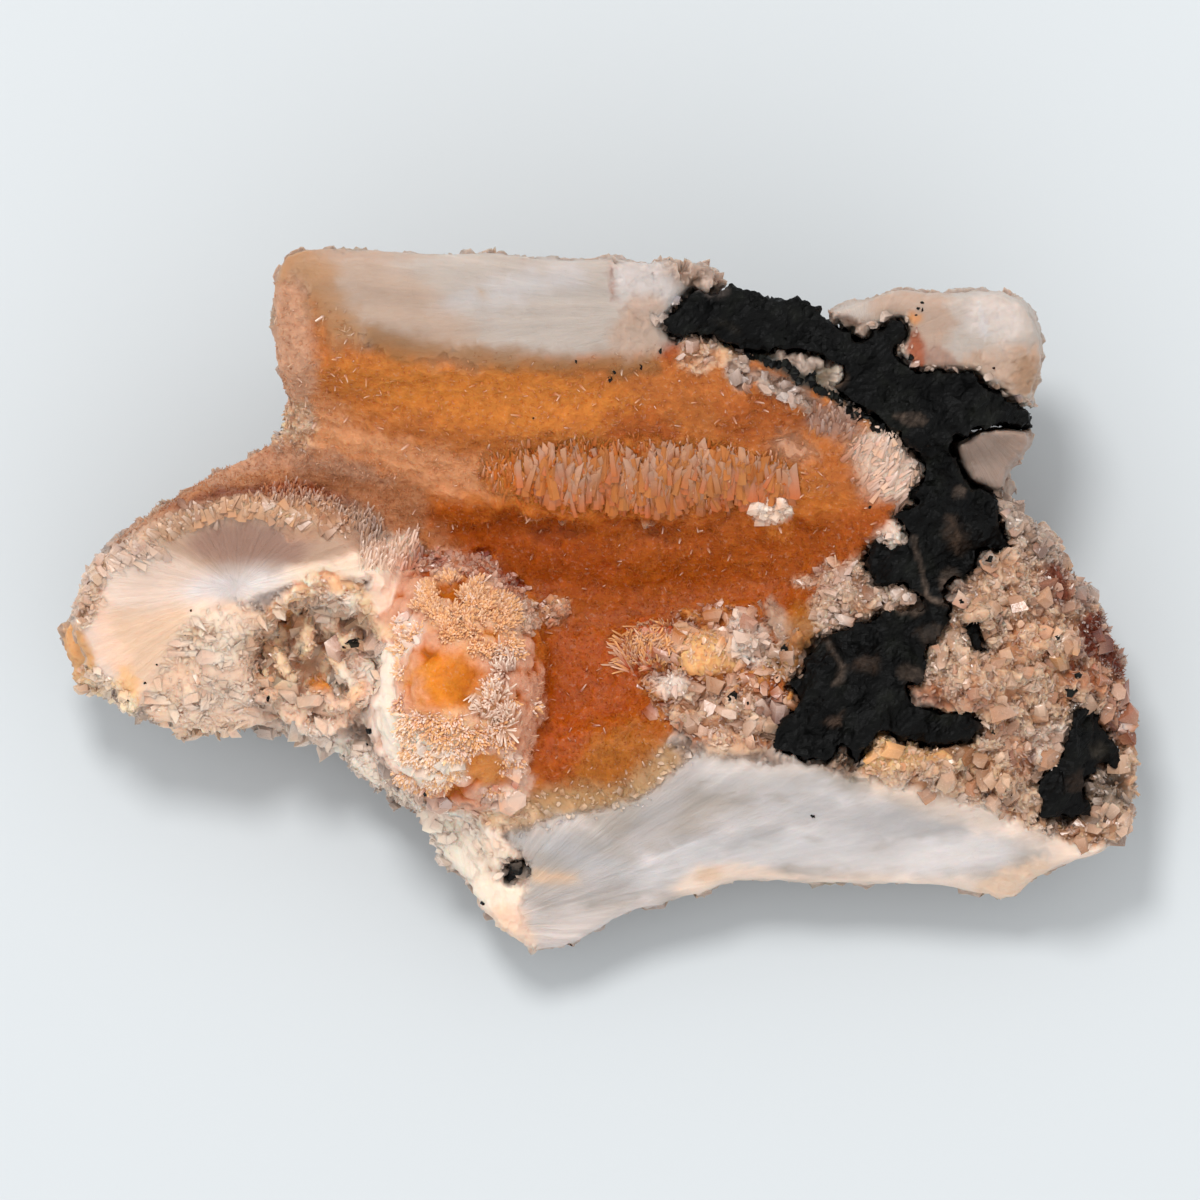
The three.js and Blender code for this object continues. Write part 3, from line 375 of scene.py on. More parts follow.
    Patch("field_rim", P.GROUND, T.DRUSE, 1.4, 1.1, 0.85, oval(35.7, 5.7, 4, 1.5, -45)),
    Patch("field_rim_east", P.BLUSH_GREY, T.DRUSE, 0.9, 0.8, 0.85, oval(40.2, 0.6, 1.5, 1.1, -71)),
    Patch("field_hollow", P.TERRACOTTA, T.VELVET, 1, 0.8, 0.9, oval(37.9, 1.2, 2, 1.4, -64)),
    Patch("field_flank", P.TERRACOTTA, T.VELVET, 1, 0.8, 0.95, ring(40, -1.5, 41.7, -1, 43.1, -3.6, 44.2,
          -6.7, 43.5, -6.7, 41.3, -5.2, 39.6, -4.4)),
    Patch("field_core", P.BEIGE, T.DRUSE, 1.6, 1.4, 0.7, oval(35.3, 0, 4.7, 2.3, -67)),
    Patch("field_glow", P.PEACH, T.DRUSE, 1.6, 1.2, 0.6, oval(36, -3, 1.9, 1.3, -17)),
    Patch("field_pink", P.ROSE_GREY, T.DRUSE, 1.6, 1.4, 0.7, oval(30.8, -6.2, 4.5, 2.9, -30)),
    Patch("field_rose", P.ROSE, T.DRUSE, 1.4, 1.2, 0.55, oval(29.3, -8, 3.4, 1.1, -2)),
    Patch("field_east", P.ROSE, T.DRUSE, 1, 0.9, 0.9, ring(39.2, -4.8, 41.5, -5.6, 43.8, -7.8, 45, -10.5,
          44.2, -12.4, 42.1, -11.7, 41.5, -8.2, 38.9, -7.1)),
    Patch("field_south", P.FAN_TAN, T.DRUSE, 1.2, 1, 0.7, oval(31.8, -13.5, 2.3, 1.6, -31)),
    Patch("field_south_rust", P.ROSE, T.DRUSE, 1, 0.8, 0.8, oval(34.8, -13.1, 1.8, 1.3, -83)),
    Patch("field_knob", P.WHITE_BLUSH, T.DRUSE, 0.8, 0.7, 0.9, oval(37.5, -11.7, 1.7, 1.3, 47)),
    Patch("field_strip", P.SHELL_GOLD, T.PLAIN, 1, 0.9, 0.8, ring(21.1, -11.3, 23.4, -10.9, 24.9, -12.1, 28.9,
          -11.9, 29.3, -13.2, 27.4, -13.8, 22.4, -14)),
    Patch("field_strip_amber", P.SLOPE_ORANGE, T.PLAIN, 1, 0.7, 0.5, oval(27.7, -13, 1.4, 0.5, 1)),
    Patch("field_low_east", P.ROCK_OLIVE, T.DRUSE, 0.9, 0.8, 0.8, oval(42.3, -15.4, 2, 1.6, -41)),
    Patch("field_white_east", P.GLINT, T.DRUSE, 0.8, 0.5, 0.6, oval(43.5, -10.3, 1.2, 0.4, 85)),
    Patch("under_tip", P.TIP_GREY, T.SILK, 0.6, 0.6, 1, ring(28.3, 13.7, 33.3, 14.7, 37.1, 14.8, 36.2, 12.1,
          33.8, 10, 32.9, 7.9, 30.2, 9.2, 29, 11.5), TIP_FAN),
    Patch("under_tip_white", P.GROUND, T.SILK, 1, 0.7, 0.6, oval(34.7, 13.7, 1.8, 0.9, 10), TIP_FAN),
    Patch("slab", P.SILK, T.SILK, 1.6, 0.6, 1, oval(-7.5, 25, 15.9, 5, -5), SLAB_FAN),
    Patch("slab_warm", P.SILK_WARM, T.SILK, 3, 1, 0.85, oval(-16.8, 24.6, 8.3, 2.7, -32), SLAB_FAN),
    Patch("slab_tan", P.SLAB_TAN, T.SILK, 1.4, 0.9, 0.8, ring(-19.4, 23, -14.7, 21.5, -9.2, 21.1, -2.8, 20.2,
          4.4, 20.6, 4.8, 18.9, -0.7, 18.7, -7.1, 19.2, -13.5, 19.8, -17.3, 19.8, -19.8, 21.1), SLAB_FAN),
    Patch("slab_end", P.SLAB_PEACH, T.SILK, 1.8, 0.9, 0.85, ring(-27.1, 29.6, -23.2, 29.6, -22, 27.4, -21.3,
          24.9, -19.4, 23, -19.4, 20.6, -22, 21.1, -23.7, 23.6, -24.9, 26.6, -27.1, 26.6), SLAB_FAN),
    Patch("slab_top", P.PEACH_WHITE, T.SILK, 0.8, 0.4, 0.5, oval(-18.8, 28.8, 5.4, 0.8, 0), SLAB_FAN),
    Patch("slab_cloud", P.SILK_SHADE, T.SILK, 2, 1.2, 0.6, oval(-7.2, 25.8, 6.1, 1.3, 12), SLAB_FAN),
    Patch("slab_stain", P.OLIVE, T.SILK, 0.3, 0.2, 0.7, oval(-9.8, 25.4, 0.4, 0.3, 31), SLAB_FAN),
    Patch("slab_lump", P.PEARL, T.PLAIN, 1, 0.7, 0.7, oval(3.6, 25.8, 3.2, 2.4, -52)),
    Patch("slab_lump_tan", P.PEACH_WHITE, T.PLAIN, 0.9, 0.7, 0.8, oval(3.6, 24.2, 1.9, 1.2, 4)),
    Patch("slab_crack", P.LILAC, T.PLAIN, 0.4, 0.2, 0.8, oval(1, 26.3, 1.8, 0.2, -86)),
    Patch("slab_foot", P.PEACH_WHITE, T.PLAIN, 1.4, 0.8, 0.8, oval(3, 21.9, 2.2, 1.8, 3)),
    Patch("middle_ball", P.MIDDLE_CREAM, T.TUFTS, 0.7, 0.8, 1, oval(-12.4, -6.6, 11, 7.6, -81), MIDDLE_FAN),
    Patch("middle_velvet", P.MIDDLE_TAN, T.TUFTS, 1.4, 1.2, 0.6, oval(-10.9, -1, 4.6, 2.8, -25), MIDDLE_FAN),
    Patch("middle_heart", P.MIDDLE_ORANGE, T.VELVET, 3.4, 1.8, 1, oval(-12.8, -6.8, 3, 2.9, 8), MIDDLE_FAN),
    Patch("middle_heart_deep", P.MIDDLE_DEEP, T.VELVET, 1.4, 1, 0.6, oval(-11.4, -6.7, 1.9, 1.4, -77),
          MIDDLE_FAN),
    Patch("middle_upper", P.MIDDLE_ORANGE, T.TUFTS, 1.2, 1.4, 0.5, oval(-10.7, -3.4, 3.6, 1.3, -18),
          MIDDLE_FAN),
    Patch("middle_low", P.SHELL_GOLD, T.TUFTS, 1.2, 0.9, 0.8, oval(-11.3, -10.7, 3.3, 1.5, -3), MIDDLE_FAN),
    Patch("middle_tips", P.MIDDLE_ORANGE, T.TUFTS, 0.9, 0.9, 0.75, oval(-8.8, -9, 2.4, 1.5, -74), MIDDLE_FAN),
    Patch("middle_east", P.VALLEY_ORANGE, T.TUFTS, 0.9, 0.8, 0.6, oval(-8, -5.3, 1.7, 0.8, -86), MIDDLE_FAN),
    Patch("middle_frost", P.FRINGE, T.DRUSE, 0.7, 1, 0.85, ring(-15.6, 3.1, -15, 4.2, -12.7, 3.7, -9.5, 3.7,
          -8, 2.4, -6, 1.2, -6.4, 0.2, -7.6, 0.4, -9.5, 1.8, -12.7, 2.3, -15.3, 2.3)),
    Patch("middle_frost_east", P.ROSE_GREY, T.DRUSE, 0.7, 1, 0.75, oval(-6.6, -1.4, 1.6, 1.3, -15)),
    Patch("middle_knob", P.PEACH, T.DRUSE, 0.5, 0.5, 0.85, oval(-3.7, -0.9, 1.2, 1, 7)),
    Patch("middle_face", P.CREAM_SOLID, T.PLAIN, 0.9, 0.8, 1, ring(-19.8, -3.3, -16.4, -3.3, -15.3, -3.9,
          -16.4, -5.2, -16.9, -6.8, -16.2, -8.7, -14.7, -10.3, -11.5, -12.2, -11.5, -14.8, -13.4, -15.7,
          -15.6, -15.6, -17.8, -13.2, -19.8, -10, -19.9, -6.2)),
    Patch("middle_face_gold", P.HONEY_WHITE, T.PLAIN, 1, 0.7, 0.9, ring(-19.9, 0.5, -18.8, 0.2, -18.5, -1.7,
          -16.2, -2, -16.9, -3.3, -19.8, -3.1)),
    Patch("middle_block", P.CREAM_SOLID, T.PLAIN, 0.7, 0.5, 0.8, oval(-15.6, -2.6, 1.5, 0.9, -71)),
    Patch("middle_prism", P.OLIVE_GREY, T.PLAIN, 0.4, 0.3, 0.9, oval(-18, 1.2, 2.3, 1.1, 86)),
    Patch("middle_pit", P.AMBER, T.VELVET, 0.9, 0.8, 0.9, oval(-9.3, -13.8, 2.1, 1.3, -22)),
    Patch("middle_plates", P.SHELL_ROSE, T.PLAIN, 0.6, 0.5, 0.9, ring(-8.4, -12.5, -7.2, -12.2, -6.4, -14.1,
          -5.4, -14.9, -6, -16.5, -8.3, -17.3, -10.2, -16.4, -9.9, -15.6, -7.3, -15.2)),
    Patch("middle_slab", P.OLIVE_GREY, T.PLAIN, 0.5, 0.4, 0.8, oval(-13.6, -13.3, 1.8, 1.3, -12)),
    Patch("stringer", P.ROCK_OLIVE, T.PLAIN, 0.3, 0.5, 1, ring(10.9, 22.2, 13.6, 20.6, 17, 18.7, 20.3, 17,
          23.4, 15.2, 24.8, 14.9, 24.8, 13.9, 23.4, 14.2, 20.3, 16, 17, 17.7, 13.6, 19.6, 10.9, 21.2)),
    Patch("lump", P.SILK, T.SILK, 1.2, 0.8, 1, ring(18.3, 24, 25.2, 26.7, 37.5, 26.2, 37.9, 16.7, 35.8, 15.8,
          31.7, 18.3, 25, 19.2, 23.3, 22.5), LUMP_FAN),
    Patch("lump_tan", P.PEACH_WHITE, T.SILK, 1.6, 1.2, 0.85, ring(22.7, 25.2, 25.8, 25.7, 28.7, 25.4, 29.3,
          23.3, 29, 21.1, 30.3, 19.2, 27.1, 19, 24.9, 21.1, 25.2, 23.3, 23.9, 23.3, 21.4, 22.3), LUMP_FAN),
    Patch("lump_tan_low", P.FAN_SHADE, T.PLAIN, 1.6, 1.2, 0.8, ring(30, 20.1, 32.2, 20.8, 35.1, 21.1, 36.8,
          21.1, 37, 17.9, 35.4, 16.3, 32.5, 17.9, 30.3, 19)),
    Patch("lump_peach_low", P.SLAB_TAN, T.PLAIN, 1.4, 1, 0.55, oval(35.5, 18.7, 1.7, 1.2, -85)),
    Patch("lump_amber", P.HONEY, T.PLAIN, 0.6, 0.5, 0.6, oval(26.1, 23.4, 0.7, 0.4, -7)),
    Patch("lump_seam", P.RUST, T.PLAIN, 0.6, 0.4, 0.8, oval(26.4, 20.5, 1.8, 0.6, -83)),
    Patch("lump_grey", P.BLUSH_GREY, T.PLAIN, 0.7, 0.6, 0.7, oval(28.3, 20, 1.4, 1, -25)),
    Patch("lump_white", P.GLINT, T.PLAIN, 1.6, 0.8, 0.5, oval(32.7, 23.5, 2.5, 1.7, -17)),
    Patch("lump_line", P.SILK_SHADE, T.PLAIN, 0.5, 0.4, 0.7, ring(31.4, 24.7, 31.9, 23.6, 32.4, 22, 31.9,
          21.4, 31.6, 23)),
]

# Clear and brownish windows and thin seams in the basalt, and painted highlights where its glossy faces
# shine.
WINDOWS = [
    Patch("window", P.WINDOW, T.PLAIN, 0.5, 0.5, 1, oval(17.7, 19.2, 3, 1.1, -19)),
    Patch("window_rose", P.ROSE_GREY, T.PLAIN, 0.5, 0.4, 0.8, oval(18.8, 18.3, 1.2, 0.6, -7)),
    Patch("grey_window", P.GREY_CLEAR, T.PLAIN, 0.5, 0.5, 1, oval(9, 26.3, 1.8, 0.9, -27)),
    Patch("small_window", P.WINDOW_GREY, T.PLAIN, 0.4, 0.3, 0.85, oval(25.8, 15.1, 1.4, 0.5, -11)),
    Patch("olive_seam", P.ROCK_OLIVE, T.PLAIN, 0.5, 0.4, 0.6, ring(9.1, 23.1, 10.2, 23.4, 11.8, 22.5, 11.5,
          22, 9.9, 22.9)),
    Patch("pane_a", P.WINDOW_GREY, T.PLAIN, 0.4, 0.3, 0.5, oval(29.8, 9, 0.6, 0.5, -18)),
    Patch("pane_b", P.ROCK_BROWN, T.PLAIN, 0.9, 0.7, 0.8, oval(29.6, 5.2, 1.7, 1, -66)),
    Patch("pane_c", P.WINDOW_GREY, T.PLAIN, 0.6, 0.5, 0.9, oval(25.5, -0.1, 1.7, 1, -34)),
    Patch("pane_d", P.ROCK_BROWN, T.PLAIN, 0.5, 0.4, 0.8, oval(21.2, 2.9, 1, 0.9, -55)),
    Patch("pane_e", P.WINDOW_GREY, T.PLAIN, 0.6, 0.4, 0.8, oval(25.9, -6.1, 1.1, 0.6, -13)),
    Patch("pane_f", P.WINDOW_GREY, T.PLAIN, 0.5, 0.4, 0.7, oval(29.1, 1.6, 1.2, 0.9, -70)),
    Patch("seam", P.WINDOW_GREY, T.PLAIN, 0.3, 0.2, 0.75, ring(25.9, 5.2, 26.2, 5.2, 27.4, 0.6, 29.1, -0.2,
          28.9, -0.6, 27.1, 0.2, 26.6, 2.1)),
    Patch("seam_low", P.WINDOW_GREY, T.PLAIN, 0.5, 0.4, 0.7, ring(19, -3.6, 19.7, -4.8, 20.5, -5.6, 20.1,
          -7.1, 19.3, -7.1, 19.7, -5.6)),
    Patch("crumb_low", P.WINDOW, T.PLAIN, 0.4, 0.3, 0.9, ring(18.4, -10, 19.7, -9.6, 20.3, -9.2, 20.1, -10.5,
          19.2, -10.7)),
    # Painted highlights where the basalt's glossy faces shine.
    Patch("shine", P.ROCK_BROWN, T.PLAIN, 0.8, 0.6, 0.7, oval(22.1, -5.4, 1.1, 0.7, -4)),
    Patch("shine_b", P.WINDOW_GREY, T.PLAIN, 0.9, 0.6, 0.6, oval(27.2, -2.8, 1.1, 0.7, -15)),
    Patch("east_pane", P.ROCK_OLIVE, T.PLAIN, 0.6, 0.5, 0.7, oval(41.5, -12.5, 0.8, 0.7, 4)),
    Patch("east_pane_b", P.ROCK_BROWN, T.PLAIN, 0.7, 0.6, 0.8, oval(39.8, -15.1, 0.9, 0.8, -73)),
    Patch("rim_brown", P.ROCK_BROWN, T.PLAIN, 0.7, 0.6, 0.5, oval(31.8, -10.3, 1.3, 0.5, -52)),
    # A painted highlight on the front chip.
    Patch("chip_shine", P.OLIVE_GREY, T.PLAIN, 0.5, 0.3, 0.5, oval(-7.1, -22, 0.6, 0.3, 0)),
]


def unit(vectors: np.ndarray) -> np.ndarray:
    """Vectors brought to length one."""
    return vectors / np.maximum(np.linalg.norm(vectors, axis=-1, keepdims=True), TINY)


def smoothstep(low: float, high: float, value: np.ndarray) -> np.ndarray:
    """A ramp from 0 to 1 with soft ends, which falls if low is the higher.

    Args:
        low: Where the ramp starts.
        high: Where it ends.
        value: The values to ramp.

    Returns:
        The ramped values.
    """
    t = np.clip((value - low) / (high - low), 0.0, 1.0)
    return t * t * (3.0 - 2.0 * t)


def fractal(points: np.ndarray, pitch: float, octaves: int = 3, shift: float = 0.0) -> np.ndarray:
    """Fractal noise of about -1 to 1 at each point.

    Args:
        points: Places in millimetres.
        pitch: Lumps to a millimetre.
        octaves: How many finer layers are added up.
        shift: Moves the pattern, so that two calls differ.

    Returns:
        One value for each point.
    """
    scaled = points * pitch + shift
    return np.array([noise.fractal(p, 0.9, 2.1, octaves) for p in scaled.tolist()])


def depth_inside(plan: np.ndarray, outline: Sequence[tuple[float, float]]) -> np.ndarray:
    """Distance to a closed outline, positive inside it.

    Args:
        plan: Places in the plan, n by 2.
        outline: The corners of the outline.

    Returns:
        One distance for each place, in millimetres.
    """
    corners = np.array(outline)
    nearest = np.full(len(plan), np.inf)
    inside = np.zeros(len(plan), dtype=bool)
    for start, end in zip(corners, np.roll(corners, -1, axis=0)):
        edge = end - start
        offset = plan - start
        along = np.clip(offset @ edge / max(edge @ edge, TINY), 0.0, 1.0)
        nearest = np.minimum(nearest, np.hypot(*(offset - along[:, None] * edge).T))
        crosses = (start[1] > plan[:, 1]) != (end[1] > plan[:, 1])
        rise = edge[1] if abs(edge[1]) > TINY else TINY
        inside ^= crosses & (offset[:, 0] < edge[0] * (plan[:, 1] - start[1]) / rise)
    return np.where(inside, nearest, -nearest)


@dataclass
class Zones:
    """The plan worked out for a set of points: their paint, their texture masks and their fibres."""

    paint: np.ndarray
    masks: np.ndarray
    fan: np.ndarray

    def mask(self, texture: Texture) -> np.ndarray:
        """How much of one texture there is at each point."""
        return self.masks[:, texture.value]


@dataclass
class Chart:
    """Reads the plan: which zone lies at a point, and how it looks there.

    edge_pitch is the coarse and the fine lumps to the millimetre of the zones' ragged edges, and
    fibre_pitch the changes to the millimetre along a fibre.
    """

    patches: Sequence[Patch]
    edge_pitch: tuple[float, float] = (0.45, 1.5)
    fibre_pitch: float = 0.11

    def cover(self, patch: Patch, points: np.ndarray, wander: np.ndarray) -> np.ndarray:
        """How much of a patch there is at each point.

        Args:
            patch: The zone.
            points: Places, n by 3.
            wander: Noise that moves the zone's edge, one value for each place.

        Returns:
            A weight from 0 to 1 for each place.
        """
        margin = patch.feather + 2.0 * patch.ragged
        corners = np.array(patch.outline)
        low, high = corners.min(axis=0) - margin, corners.max(axis=0) + margin
        near = np.all((points[:, :2] > low) & (points[:, :2] < high), axis=1)
        weight = np.zeros(len(points))
        if near.any():
            depth = depth_inside(points[near, :2], patch.outline) + patch.ragged * wander[near]
            weight[near] = smoothstep(-patch.feather / 2, patch.feather / 2, depth)
        return weight

    def wander(self, points: np.ndarray) -> np.ndarray:
        """The noise that makes the zones' edges ragged, one value for each point."""
        coarse, fine = self.edge_pitch
        return 0.6 * fractal(points, coarse, 2) + 0.5 * fractal(points, fine, 2, 9.0)

    def ground(self, names: Sequence[str], points: np.ndarray) -> np.ndarray:
        """How much of the named zones there is at each point, with plain edges.

        Args:
            names: Zones by name.
            points: Places, n by 3.

        Returns:
            A weight from 0 to 1 for each place.
        """
        still = np.zeros(len(points))
        chosen = [patch for patch in self.patches if patch.name in names]
        if len(chosen) != len(set(names)):
            raise ValueError(f"no such zone among {names}")
        return np.max([self.cover(patch, points, still) for patch in chosen], axis=0)

    def read(self, points: np.ndarray, upward: np.ndarray, base: np.ndarray) -> Zones:
        """Works the plan out for a surface.

        Args:
            points: Places on the surface, n by 3.
            upward: The upward part of the surface's normal at each.
            base: The colour below all zones, one for each place.

        Returns:
            The paint, the texture masks and the fibre coordinates.
        """
        wander = self.wander(points)
        seen = smoothstep(*GIRTH_FADE, upward)
        paint = base.copy()
        masks = np.zeros((len(points), len(Texture)))
        masks[:, Texture.DRUSE.value] = 1.0
        fan = np.zeros((len(points), 3))
        for patch in self.patches:
            weight = self.cover(patch, points, wander) * seen * patch.strength
            paint += weight[:, None] * (patch.pigment.linear - paint)
            goal = np.zeros(len(Texture))
            goal[patch.texture.value] = patch.fan.strength if patch.fan else 1.0
            masks += weight[:, None] * (goal - masks)
            if patch.fan is not None:
                arm = points[:, :2] - np.array(patch.fan.centre)
                reach = np.maximum(np.hypot(*arm.T), 0.3)
                turns = np.column_stack([arm / reach[:, None] * patch.fan.fibres, reach * self.fibre_pitch])
                turns[:, 2] += 5.0 * sum(patch.fan.centre)
                fan = np.where((weight > 0.3)[:, None], turns, fan)
        return Zones(paint, masks, fan)


def earthy(points: np.ndarray) -> np.ndarray:
    """The ground colour of the unseen sides, with earth and lichen on it.

    Args:
        points: Places in millimetres.

    Returns:
        The colour at each.
    """
    dirt = smoothstep(0.1, 0.7, fractal(points, 0.16, 3, 4.0))[:, None]
    moss = smoothstep(0.25, 0.8, fractal(points, 0.23, 3, 31.0))[:, None]
    paint = np.tile(Pigment.GROUND.linear, (len(points), 1))
    paint += dirt * 0.8 * (Pigment.EARTH.linear - paint)
    return paint + moss * 0.6 * (Pigment.LICHEN.linear - paint)


def rocky(points: np.ndarray) -> np.ndarray:
    """The black and dark green of the basalt.

    Args:
        points: Places in millimetres.

    Returns:
        The colour at each.
    """
    stain = smoothstep(0.0, 0.6, fractal(points, 0.35, 3, 14.0))[:, None]
    return Pigment.BASALT.linear + stain * (Pigment.BASALT_GREEN.linear - Pigment.BASALT.linear)


# Materials.


class Wire:
    """A socket of a node tree. Arithmetic on it adds the Math nodes that work it out."""

    def __init__(self, recipe: "Recipe", socket: bpy.types.NodeSocket) -> None:
        """Keeps the socket and the recipe that it belongs to."""
        self.recipe = recipe
        self.socket = socket

    def maths(self, operation: str, *others: "Wire | float", swapped: bool = False) -> "Wire":
        """Adds a Math node.

        Args:
            operation: The node's operation.
            others: Its further operands.
            swapped: Whether this socket comes last.

        Returns:
            The result.
        """
        operands = [*others, self] if swapped else [self, *others]
        return self.recipe.node("Math", {"operation": operation}, dict(enumerate(operands)))

    def __add__(self, other: "Wire | float") -> "Wire":
        """self + other."""
        return self.maths("ADD", other)

    __radd__ = __add__

    def __mul__(self, other: "Wire | float") -> "Wire":
        """self * other."""
        return self.maths("MULTIPLY", other)

    __rmul__ = __mul__

    def __sub__(self, other: "Wire | float") -> "Wire":
        """self - other."""
        return self.maths("SUBTRACT", other)

    def __rsub__(self, other: "Wire | float") -> "Wire":
        """other - self."""
        return self.maths("SUBTRACT", other, swapped=True)

    def ramp(self, low: float, high: float) -> "Wire":
        """The share of the way from low to high, with soft ends."""
        settings = {"interpolation_type": "SMOOTHSTEP"}
        return self.recipe.node("MapRange", settings, {"Value": self, "From Min": low, "From Max": high})


class Recipe:
    """A material's node tree, with its shader."""

    def __init__(self, name: str) -> None:
        """Starts a material with a bare Principled shader."""
        self.material = bpy.data.materials.new(name)
        self.material.use_nodes = True
        self.tree = self.material.node_tree
        self.shader = self.tree.nodes["Principled BSDF"]

    def node(self, kind: str, settings: dict | None = None, inputs: dict | None = None,
             output: int | str = 0) -> Wire:
        """Adds a node.

        Args:
            kind: Its type, without the ShaderNode in front.
            settings: Its own properties, set before its sockets.
            inputs: Values or wires of its sockets, by name or number.
            output: The socket that is wanted.

        Returns:
            That socket.
        """
        made = self.tree.nodes.new("ShaderNode" + kind)
        for key, value in (settings or {}).items():
            setattr(made, key, value)
        for key, value in (inputs or {}).items():
            self.feed(made.inputs[key], value)
        return Wire(self, made.outputs[output])

    def feed(self, socket: bpy.types.NodeSocket, value: "Wire | float | Sequence[float]") -> None:
        """Links a wire to a socket, or sets the socket's own value.

        Args:
            socket: The socket.
            value: What it gets.
        """
        if isinstance(value, Wire):
            self.tree.links.new(value.socket, socket)
        else:
            socket.default_value = value

    def set(self, **values: object) -> None:
        """Sets or links the shader's sockets, with underscores for the spaces of their names."""
        for key, value in values.items():
            self.feed(self.shader.inputs[key.replace("_", " ")], value)

    def attribute(self, name: str, output: str = "Fac") -> Wire:
        """A value kept on the mesh."""
        return self.node("Attribute", {"attribute_name": name}, output=output)

    def place(self) -> Wire:
        """The place on the object, in metres."""
        return self.node("TexCoord", output="Object")

    def noise(self, vector: Wire, scale: float, detail: float = 3.0, roughness: float = 0.55) -> Wire:
        """Fractal noise from 0 to 1."""
        inputs = {"Vector": vector, "Scale": scale, "Detail": detail, "Roughness": roughness}
        return self.node("TexNoise", inputs=inputs)

    def mix(self, factor: "Wire | float", first: object, second: object, blend: str = "MIX") -> Wire:
        """Mixes two colours."""
        settings = {"data_type": "RGBA", "blend_type": blend}
        return self.node("Mix", settings, {0: factor, 6: first, 7: second}, 2)

    def vectors(self, operation: str, *operands: object, output: int | str = 0) -> Wire:
        """Adds a Vector Math node."""
        return self.node("VectorMath", {"operation": operation}, dict(enumerate(operands)), output)

    def dim(self, colour: Wire, factor: Wire) -> Wire:
        """A colour times a number."""
        return self.node("VectorMath", {"operation": "SCALE"}, {0: colour, 3: factor})

    def facets(self, vector: Wire, scale: float, tilt: float) -> Wire:
        """The height of flat faces, each tilted its own way, for a bump.

        Args:
            vector: The place.
            scale: Faces to the metre.
            tilt: How steep the faces are.

        Returns:
            The height, in millimetres.
        """
        cell = self.tree.nodes.new("ShaderNodeTexVoronoi")
        cell.inputs["Scale"].default_value = scale
        self.feed(cell.inputs["Vector"], vector)
        centre = Wire(self, cell.outputs["Position"])
        lean = self.vectors("SUBTRACT", Wire(self, cell.outputs["Color"]), (0.5, 0.5, 0.5))
        arm = self.vectors("SUBTRACT", vector, centre)
        return self.vectors("DOT_PRODUCT", arm, lean, output="Value") * (tilt / MM)

    def leaning(self, share: float) -> Wire:
        """The normal, leaned towards the one kept on the mesh as stand.

        Args:
            share: How far it leans, from 0 to 1.

        Returns:
            The leaned normal.
        """
        facing = self.node("TexCoord", output="Normal")
        settings = {"data_type": "VECTOR"}
        between = self.node("Mix", settings, {0: share, 4: facing, 5: self.attribute("stand", "Vector")}, 1)
        return self.vectors("NORMALIZE", between)

    def bump(self, height: Wire, strength: float = 1.0, normal: Wire | None = None) -> Wire:
        """A bumped normal from heights in millimetres."""
        inputs = {"Strength": strength, "Distance": MM, "Height": height}
        return self.node("Bump", inputs=inputs if normal is None else inputs | {"Normal": normal})


@dataclass(frozen=True)
class GrowthFinish:
    """The painted skin of the grown mineral: silky, velvety, ribbed, blocky or plain by its masks.

    The shades are how strongly each texture darkens and lightens the paint. grains, tufts and clouds
    are how many there are to the metre, facets the same for coarse and fine flat faces. glow is how
    much light scatters below the surface, and glow_depth how deep, in metres.
    """

    name: str
    fibre_shade: float = 0.34
    rib_shade: float = 0.5
    velvet_shade: float = 0.4
    tuft_shade: float = 0.5
    cloud_shade: float = 0.22
    grains: float = 2600.0
    tufts: float = 900.0
    clouds: float = 220.0
    facets: tuple[float, float] = (850.0, 1900.0)
    roughness: float = 0.42
    shine: float = 0.18
    glow: float = 0.85
    glow_colour: tuple[float, float, float] = (1.0, 0.65, 0.5)
    glow_depth: float = 0.0009

    def material(self) -> bpy.types.Material:
        """Builds the material.

        Returns:
            The material, which reads the attributes paint, silk, velvet, druse, ribs, tufts and fan.
        """
        made = Recipe(self.name)
        place = made.place()
        names = ("silk", "velvet", "druse", "ribs", "tufts")
        silk, velvet, druse, ribs, tufts = (made.attribute(name) for name in names)
        plain = 1.0 - silk - velvet - druse - ribs - tufts
        fan = made.attribute("fan", "Vector")
        fibre = made.noise(fan, 1.0, 6.0, 0.62)
        thread = made.noise(fan, 5.0, 2.0, 0.6)
        grain = made.noise(place, self.grains, 2.0, 0.6)
        tuft = made.noise(place, self.tufts, 3.0, 0.6)
        cloud = made.noise(place, self.clouds)
        coarse, fine = self.facets
        shade = (
            1.0
            + (fibre - 0.5) * silk * (2.0 * self.fibre_shade)
            + (fibre - 0.5) * ribs * (2.0 * self.rib_shade)
            + (grain - 0.5) * (velvet + 0.5 * druse + 0.5 * ribs + 0.7 * tufts) * self.velvet_shade
            + (tuft - 0.5) * (velvet + 0.7 * druse + 0.6 * tufts) * self.tuft_shade
            + (cloud - 0.5) * self.cloud_shade
        )
        height = (
            (velvet + tufts) * grain * 0.08
            + (velvet + tufts) * tuft * 0.2
            + (druse + plain * 0.4) * (made.facets(place, coarse, 0.45) + made.facets(place, fine, 0.25))
            + (ribs * fibre) * 0.5
            + (silk * fibre) * 0.26
            + (silk * thread) * 0.05
            + grain * 0.015
        )
        # Painted highlight: pale flecks on the velvet and ribs where their needle tips catch the light.
        fleck = grain.ramp(0.58, 0.72) * (velvet + ribs) * 0.3
        body = made.dim(made.attribute("paint", "Color"), shade)
        made.set(
            Base_Color=made.mix(fleck, body, Pigment.PEACH_WHITE.rgba),
            Roughness=self.roughness + velvet * 0.08 - druse * 0.08 + (grain - 0.5) * 0.3,
            Normal=made.bump(height),
            Subsurface_Weight=self.glow,
            Subsurface_Radius=self.glow_colour,
            Subsurface_Scale=self.glow_depth,
            Specular_IOR_Level=self.shine,
            IOR=MINERAL_IOR,
        )
        return made.material


